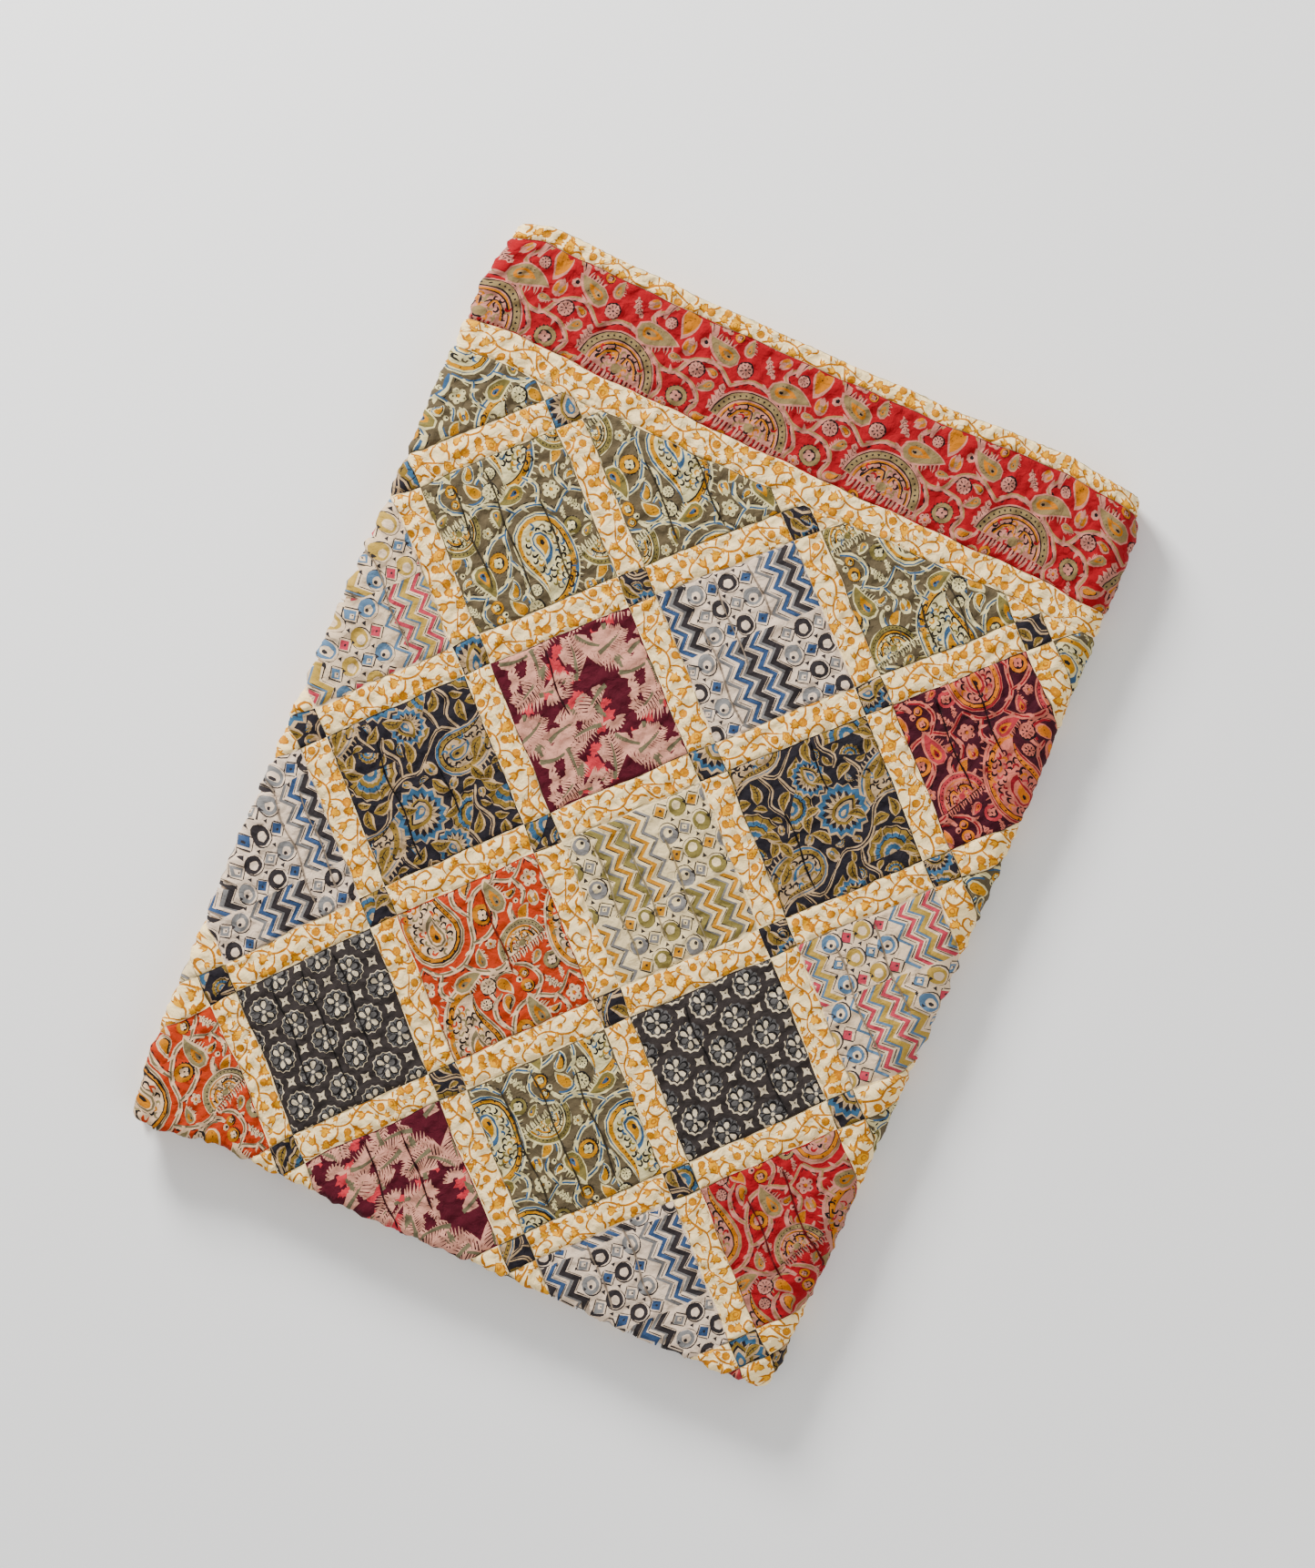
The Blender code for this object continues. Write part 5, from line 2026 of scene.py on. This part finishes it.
# Quilting tucks over the squares: place across from the middle, and both ends up it, in mm
CREASES: dict[tuple[int, int], tuple[tuple[float, float, float], ...]] = {
    (1, 0): ((-30, 20, -66), (14, 10, -66)), (4, 5): ((-30, 50, -40), (8, 60, -60)),
    (4, 3): ((-36, 60, -60), (4, 64, -30)), (5, 4): ((-50, 60, -60),),
    (-1, 4): ((30, 60, -60), (54, 40, -60)), (-1, 2): ((30, 60, -60),),
    (3, 6): ((-20, 66, 0), (16, 66, -10)), (1, 6): ((-10, 66, -20), (26, 60, -20)),
    (0, 1): ((-42, 60, -40), (-8, 64, -64), (30, 20, -64)),
    (2, 1): ((-40, 30, -68), (-14, 66, -20), (22, 68, 10)),
    (4, 1): ((-30, 64, -30), (10, 66, -10)), (0, 3): ((-30, 50, -66), (18, 10, -40)),
    (2, 3): ((-44, 60, -60), (-12, 66, -50), (20, 40, -66)),
    (0, 5): ((-36, 66, -40), (-4, 68, -68), (30, 66, -30)),
    (2, 5): ((-40, 62, -62), (-6, 66, -66), (30, 50, -60)),
    (3, 4): ((-20, 60, 0), (30, -10, -66)), (3, 0): ((-10, -20, -66), (24, -10, -66)),
    (3, 2): ((-34, 20, -60), (12, 66, 20)), (1, 4): ((10, 60, -20),), (1, 2): ((-20, 66, 0),),
}


# How far hand blocks slip and how rough their edges print, in mm
SLIP = 0.4
ROUGHNESS = 0.17


def pressed(marks: list[Mark], detail: Detail, start: tuple[float, float]) -> list[Mark]:
    """Marks as hand blocks leave them: each dye a little off its place, with uneven edges.

    Args:
        marks: The marks as drawn.
        detail: How finely the piece is drawn.
        start: The print's place, which sets how the blocks slip.

    Returns:
        The slipped marks.
    """
    rng = np.random.default_rng(int(abs(start[0]) * 97 + abs(start[1]) * 31))
    slips = {dye: rng.normal(0.0, SLIP, 2) for dye in (*DYES[1:], DYES[0])}
    rough = ROUGHNESS if detail is Detail.FINE else 0.0
    return [
        (dye, points + slips[dye] + rng.normal(0.0, rough, points.shape)) for dye, points in marks
    ]


@dataclass(frozen=True)
class Seams:
    """Where the bands along the edges are sewn together, in mm from the edge.

    The quilt is folded a little askew, so the end seams lean across the panel. Pieces that run
    round a fold end out of sight, at the nose's distance past it.
    """

    cloth: FoldedCloth
    nose: float = 14.0
    lap: float = 4.0
    side: tuple[float, float, float] = (16.0, 107.0, 134.0)
    left: tuple[float, float, float] = (16.0, 100.0, 129.0)
    right: tuple[float, float, float] = (16.0, 112.0, 137.0)

    @property
    def near(self) -> float:
        """Where the lower panel's pieces give way to the finer ones of the fold above it."""
        return self.cloth.across_ends[1] + self.lap

    @property
    def far(self) -> float:
        """Where the pieces of the upper panel end across the cloth."""
        return self.cloth.across_ends[4] + self.nose

    @property
    def bottom(self) -> float:
        """Where the pieces of the upper panel end down the cloth."""
        return self.cloth.sizes.first_half + self.cloth.down[1].length + self.nose

    def end(self, index: int, s: float) -> float:
        """Distance of an end seam from the end edge at one place across."""
        first, last = self.cloth.panel_start, self.cloth.panel_end
        share = (s - first) / (last - first)
        return self.right[index] + share * (self.left[index] - self.right[index])


@dataclass
class Patchwork:
    """All squares, sashing strips and cornerstones that show, each its own piece."""

    cloth: FoldedCloth
    lattice: Lattice
    relief: Relief
    seams: Seams
    columns: tuple[int, int] = (-14, 12)
    rows: tuple[int, int] = (-1, 8)
    least_area: float = 60.0
    overlap: float = 4.0
    made: list[bpy.types.Object] = field(default_factory=list)

    def windows(self) -> tuple[Points, ...]:
        """Flat areas of the field that can be seen: the two outer panels and the fold noses."""
        seams = self.seams
        side, far, bottom = seams.side[2], seams.far, seams.bottom
        inner = self.cloth.total_across - side
        top = self.cloth.sizes.first_half - seams.nose
        upper = [(side, seams.end(2, side)), (far, seams.end(2, far)), (far, bottom), (side, bottom)]
        noses = [(far, top), (inner, top), (inner, bottom), (far, bottom)]
        return np.array(upper), np.array(noses)

    def detail_of(self, outline: Points) -> Detail:
        """How finely a piece with this outline is drawn."""
        first, last = outline[:, 0].min(), outline[:, 0].max()
        if last > self.seams.near and first < self.cloth.across_ends[4]:
            return Detail.FINE
        return Detail.UNDER if last < self.cloth.across_ends[2] else Detail.HIDDEN

    def to_flat(self, points: Points, p: float, q: float) -> Points:
        """Flat places of points drawn in mm round a lattice place, x to the right and y up."""
        pitch = self.lattice.pitch
        return self.lattice.flat(self.cloth, p - points[:, 1] / pitch, q + points[:, 0] / pitch)

    def cut(
        self, name: str, p: float, q: float, wide: float, high: float, fabric: Fabric, turn: float,
        start: tuple[float, float], material: bpy.types.Material,
        creases: tuple[tuple[float, float, float], ...] = ()
    ) -> None:
        """Cuts one rectangle out of its cotton wherever it shows.

        Args:
            name: The piece's name.
            p: Lattice place of its middle along the lines down to the right.
            q: Lattice place of its middle along the lines up to the right.
            wide: Size along q, in mm.
            high: Size along p, in mm.
            fabric: Its cotton.
            turn: How far its print is turned, in degrees.
            start: Where its middle lies in the print's repeat.
            material: Its material.
            creases: Its tucks.
        """
        corners = np.array([(-wide, -high), (wide, -high), (wide, high), (-wide, high)]) / 2
        whole = self.to_flat(corners, p, q)
        for index, window in enumerate(self.windows()):
            ground = clipped(whole, window)
            if len(ground) < 3 or abs(ring_area(ground)) < self.least_area:
                continue
            if ring_area(ground) < 0:
                ground = ground[::-1]
            detail = self.detail_of(ground)
            cover = (wide + self.overlap, high + self.overlap)
            marks = pressed(PRINTS[fabric](detail).over(cover, start, turn), detail, start)
            flat = [(dye, self.to_flat(points, p, q)) for dye, points in marks]
            laid = reaching(flat, ground.min(axis=0) - 1, ground.max(axis=0) + 1)
            tucks = []
            if index == 0:
                for across, top, bottom in creases:
                    line = self.to_flat(np.array([(across, top), (across, bottom)], float), p, q)
                    tucks.append((line[0], line[1]))
            piece = ClothPiece(
                f"{name}_{index}" if index else name, self.cloth, self.relief, ground,
                PALETTES[fabric], laid, detail, tucks, spacing=detail.spacing,
            ).build(material)
            self.made.append(piece)

    def build(self, printed: bpy.types.Material, cambric: bpy.types.Material) -> None:
        """Makes every square, strip and cornerstone."""
        narrow = self.lattice.sashing
        side = self.lattice.pitch - narrow
        for p in range(-5, 11):
            for q in range(-11, 12):
                column, row = p + q, p - q
                in_columns = self.columns[0] <= column <= self.columns[1]
                if not (in_columns and self.rows[0] <= row <= self.rows[1]):
                    continue
                rng = np.random.default_rng(1000 + 37 * (p + 40) + 11 * (q + 40))
                start = tuple(rng.uniform(0, 100, 2))
                number = f"{p + 20}_{q + 20}"
                place = (column + 1, row)
                other = OTHER_FABRICS[(3 * place[0] + 5 * place[1]) % len(OTHER_FABRICS)]
                fabric = PATCH_TABLE.get(place, other)
                self.cut(f"cornerstone_{number}", p, q, narrow, narrow, Fabric.NAVY, 45.0,
                         start, printed)
                self.cut(f"square_{number}", p + 0.5, q + 0.5, side, side, fabric,
                         float(rng.integers(0, 2) * 180), start, printed, CREASES.get(place, ()))
                self.cut(f"sashing_down_{number}", p + 0.5, q, narrow, side, Fabric.VINE, 90.0,
                         start, cambric)
                self.cut(f"sashing_up_{number}", p, q + 0.5, side, narrow, Fabric.VINE, 0.0,
                         start, cambric)


@dataclass
class Bands:
    """The red border and the cream strip along the end and under side, and the four bindings."""

    cloth: FoldedCloth
    relief: Relief
    seams: Seams
    made: list[bpy.types.Object] = field(default_factory=list)

    def strip(
        self, name: str, ground: list[tuple[float, float]], fabric: Fabric, detail: Detail,
        upright: bool, material: bpy.types.Material, **shape: object
    ) -> bpy.types.Object:
        """Cuts one long strip of cloth.

        Args:
            name: The piece's name.
            ground: Its flat corners.
            fabric: Its cotton.
            detail: How finely it is drawn.
            upright: Whether it runs down the quilt instead of across it.
            material: Its material.
            shape: More values of its ClothPiece.

        Returns:
            The piece's object.
        """
        outline = np.array(ground, float)
        if ring_area(outline) < 0:
            outline = outline[::-1]
        low, high = outline.min(axis=0), outline.max(axis=0)
        base = np.array([high[0], low[1]] if upright else [(low[0] + high[0]) / 2, high[1]])
        cover = np.subtract(high, low) + 4
        kind = BorderPrint if fabric is Fabric.RED else PRINTS[fabric]
        band = cover[0] if upright else cover[1]
        along = (high[1] - low[1]) / 2 if upright else -base[0]
        start = (along, band / 2 - 2 if fabric is Fabric.RED else band / 2 + 3)
        size = (2 * cover[1], cover[0]) if upright else (cover[0], cover[1])
        flat = []
        for dye, points in pressed(kind(detail).over(size, start, 0.0), detail, start):
            if upright:
                turned = np.stack([-points[:, 1], points[:, 0]], axis=-1)
                flat.append((dye, np.array([base[0] - band / 2, (low[1] + high[1]) / 2]) + turned))
            else:
                flat.append((dye, np.array([base[0], base[1] - band / 2]) - points))
        piece = ClothPiece(
            name, self.cloth, self.relief, outline, PALETTES[fabric], reaching(flat, low, high),
            detail, spacing=detail.spacing, **shape,
        ).build(material)
        self.made.append(piece)
        return piece

    def build(self, printed: bpy.types.Material, cambric: bpy.types.Material) -> None:
        """Makes the bands on the two outer panels and the bindings of all four edges."""
        cloth, seams = self.cloth, self.seams
        far, bottom = seams.far, seams.bottom
        middle = seams.near
        binding, red, cream = seams.side
        stretches = ((binding, middle, Detail.UNDER), (middle, far, Detail.FINE))
        for index, (low, high, detail) in enumerate(stretches):
            for name, fabric, inner, cloth_kind, dome in (
                ("red_border_end", Fabric.RED, 1, printed, 1.4),
                ("cream_strip_end", Fabric.VINE, 2, cambric, 0.9),
            ):
                first = low if index or inner == 1 else red
                corners = [(first, seams.end(inner - 1, first)), (high, seams.end(inner - 1, high)),
                           (high, seams.end(inner, high)), (first, seams.end(inner, first))]
                self.strip(f"{name}_{index}", corners, fabric, detail, False, cloth_kind, dome=dome)
        for name, fabric, index, (low, high), cloth_kind, dome in (
            ("red_border_side", Fabric.RED, 1, (binding, red), printed, 1.3),
            ("cream_strip_side", Fabric.VINE, 2, (red, cream), cambric, 0.9),
        ):
            corners = [(low, seams.end(index, low)), (high, seams.end(index, high)),
                       (high, bottom), (low, bottom)]
            self.strip(name, corners, fabric, Detail.UNDER, True, cloth_kind, dome=dome)
        thin = -cloth.sizes.thickness / 2
        down, across = cloth.total_down, cloth.total_across
        cuts = (0.0, cloth.across_ends[1], far, across)
        for index, (low, high) in enumerate(zip(cuts, cuts[1:])):
            detail = (Detail.UNDER, Detail.FINE, Detail.HIDDEN)[index]
            corners = [(low, 0.0), (high, 0.0), (high, binding), (low, binding)]
            self.strip(
                f"upper_end_binding_{index}", corners, Fabric.VINE, detail, False, cambric,
                bound_edge="upper", underside=thin, dome=0.6,
            )
        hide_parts("binding_upper_end")
        corners = [(0.0, down - binding), (across, down - binding), (across, down), (0.0, down)]
        lower = self.strip("lower_end_binding", corners, Fabric.VINE, Detail.HIDDEN, False, cambric,
                           bound_edge="lower", underside=thin, dome=0.3)
        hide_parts("binding_lower_end")
        corners = [(0.0, binding), (binding, binding), (binding, down - binding),
                   (0.0, down - binding)]
        under = self.strip("under_side_binding", corners, Fabric.VINE, Detail.UNDER, True, cambric,
                           bound_edge="under", underside=thin, dome=0.5)
        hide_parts("binding_under_side")
        corners = [(across - place[0], place[1]) for place in corners]
        inner = self.strip("inner_side_binding", corners, Fabric.VINE, Detail.HIDDEN, True, cambric,
                           bound_edge="inner", underside=thin, dome=0.3)
        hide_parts("binding_inner_side")


@dataclass(frozen=True)
class Studio:
    """Pale floor, soft light from above and the camera straight overhead."""

    frame_height: float = 1.3784
    turn: float = 23.86
    look_x: float = 0.0068
    look_y: float = 0.0216
    top: float = 0.045
    distance: float = 6.0
    sensor: float = 36.0
    floor_half: float = 6.0
    floor_paint: str = "faf9f7"
    surroundings: float = 0.68

    def floor(self) -> None:
        """Wide pale floor under the pack."""
        mesh = bpy.data.meshes.new("floor")
        work = bmesh.new()
        bmesh.ops.create_grid(work, x_segments=1, y_segments=1, size=self.floor_half)
        work.to_mesh(mesh)
        work.free()
        made = new_object("floor", mesh)
        material = bpy.data.materials.new("pale_painted_floor")
        material.use_nodes = True
        shader = material.node_tree.nodes["Principled BSDF"]
        shader.inputs["Base Color"].default_value = linear(self.floor_paint)
        shader.inputs["Roughness"].default_value = 0.9
        mesh.materials.append(material)
        made.location.z = -0.0004

    def camera(self) -> None:
        """Camera straight above, turned as the photograph shows the pack."""
        data = bpy.data.cameras.new("camera")
        data.sensor_fit = "VERTICAL"
        data.sensor_height = self.sensor
        data.lens = self.sensor * self.distance / self.frame_height
        data.clip_end = 50.0
        made = new_object("camera", data)
        made.location = (self.look_x, self.look_y, self.top + self.distance)
        made.rotation_euler = (0.0, 0.0, math.radians(self.turn))
        bpy.context.scene.camera = made

    def light(
        self, name: str, place: tuple[float, float, float], size: float, power: float
    ) -> None:
        """Square soft light aimed at the pack."""
        data = bpy.data.lights.new(name, "AREA")
        data.size = size
        data.energy = power
        made = new_object(name, data)
        made.location = place
        aim = Vector((0, 0, 0.02)) - Vector(place)
        made.rotation_euler = aim.to_track_quat("-Z", "Y").to_euler()

    def build(self) -> None:
        """Sets up floor, camera, lights and the pale surroundings."""
        self.floor()
        self.camera()
        self.light("key", (-2.5, 2.1, 1.7), 1.1, 275.0)
        self.light("fill", (2.2, -1.2, 2.6), 2.6, 34.0)
        world = bpy.data.worlds.new("studio")
        bpy.context.scene.world = world
        world.use_nodes = True
        background = world.node_tree.nodes["Background"]
        background.inputs["Color"].default_value = (1.0, 1.0, 1.0, 1.0)
        background.inputs["Strength"].default_value = self.surroundings


def main() -> None:
    """Builds the quilt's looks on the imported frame."""
    logging.basicConfig(level=logging.INFO, format="%(message)s")
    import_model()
    cloth = FoldedCloth()
    lattice = Lattice()
    relief = Relief(cloth, lattice)
    finishes = (PRINTED_COTTON, PRINTED_CAMBRIC, MUSLIN)
    printed, cambric, muslin = (finish.material() for finish in finishes)

    core = Core(cloth).build(muslin)
    seams = Seams(cloth)
    patchwork = Patchwork(cloth, lattice, relief, seams)
    patchwork.build(printed, cambric)
    bands = Bands(cloth, relief, seams)
    bands.build(printed, cambric)
    made = patchwork.made + bands.made
    triangles = sum(len(piece.data.polygons) for piece in made)
    largest = max(len(piece.data.polygons) for piece in made)
    LOG.info("pieces %d, faces %d, largest %d", len(made), triangles, largest)
    Studio().build()


if __name__ == "__main__":
    main()
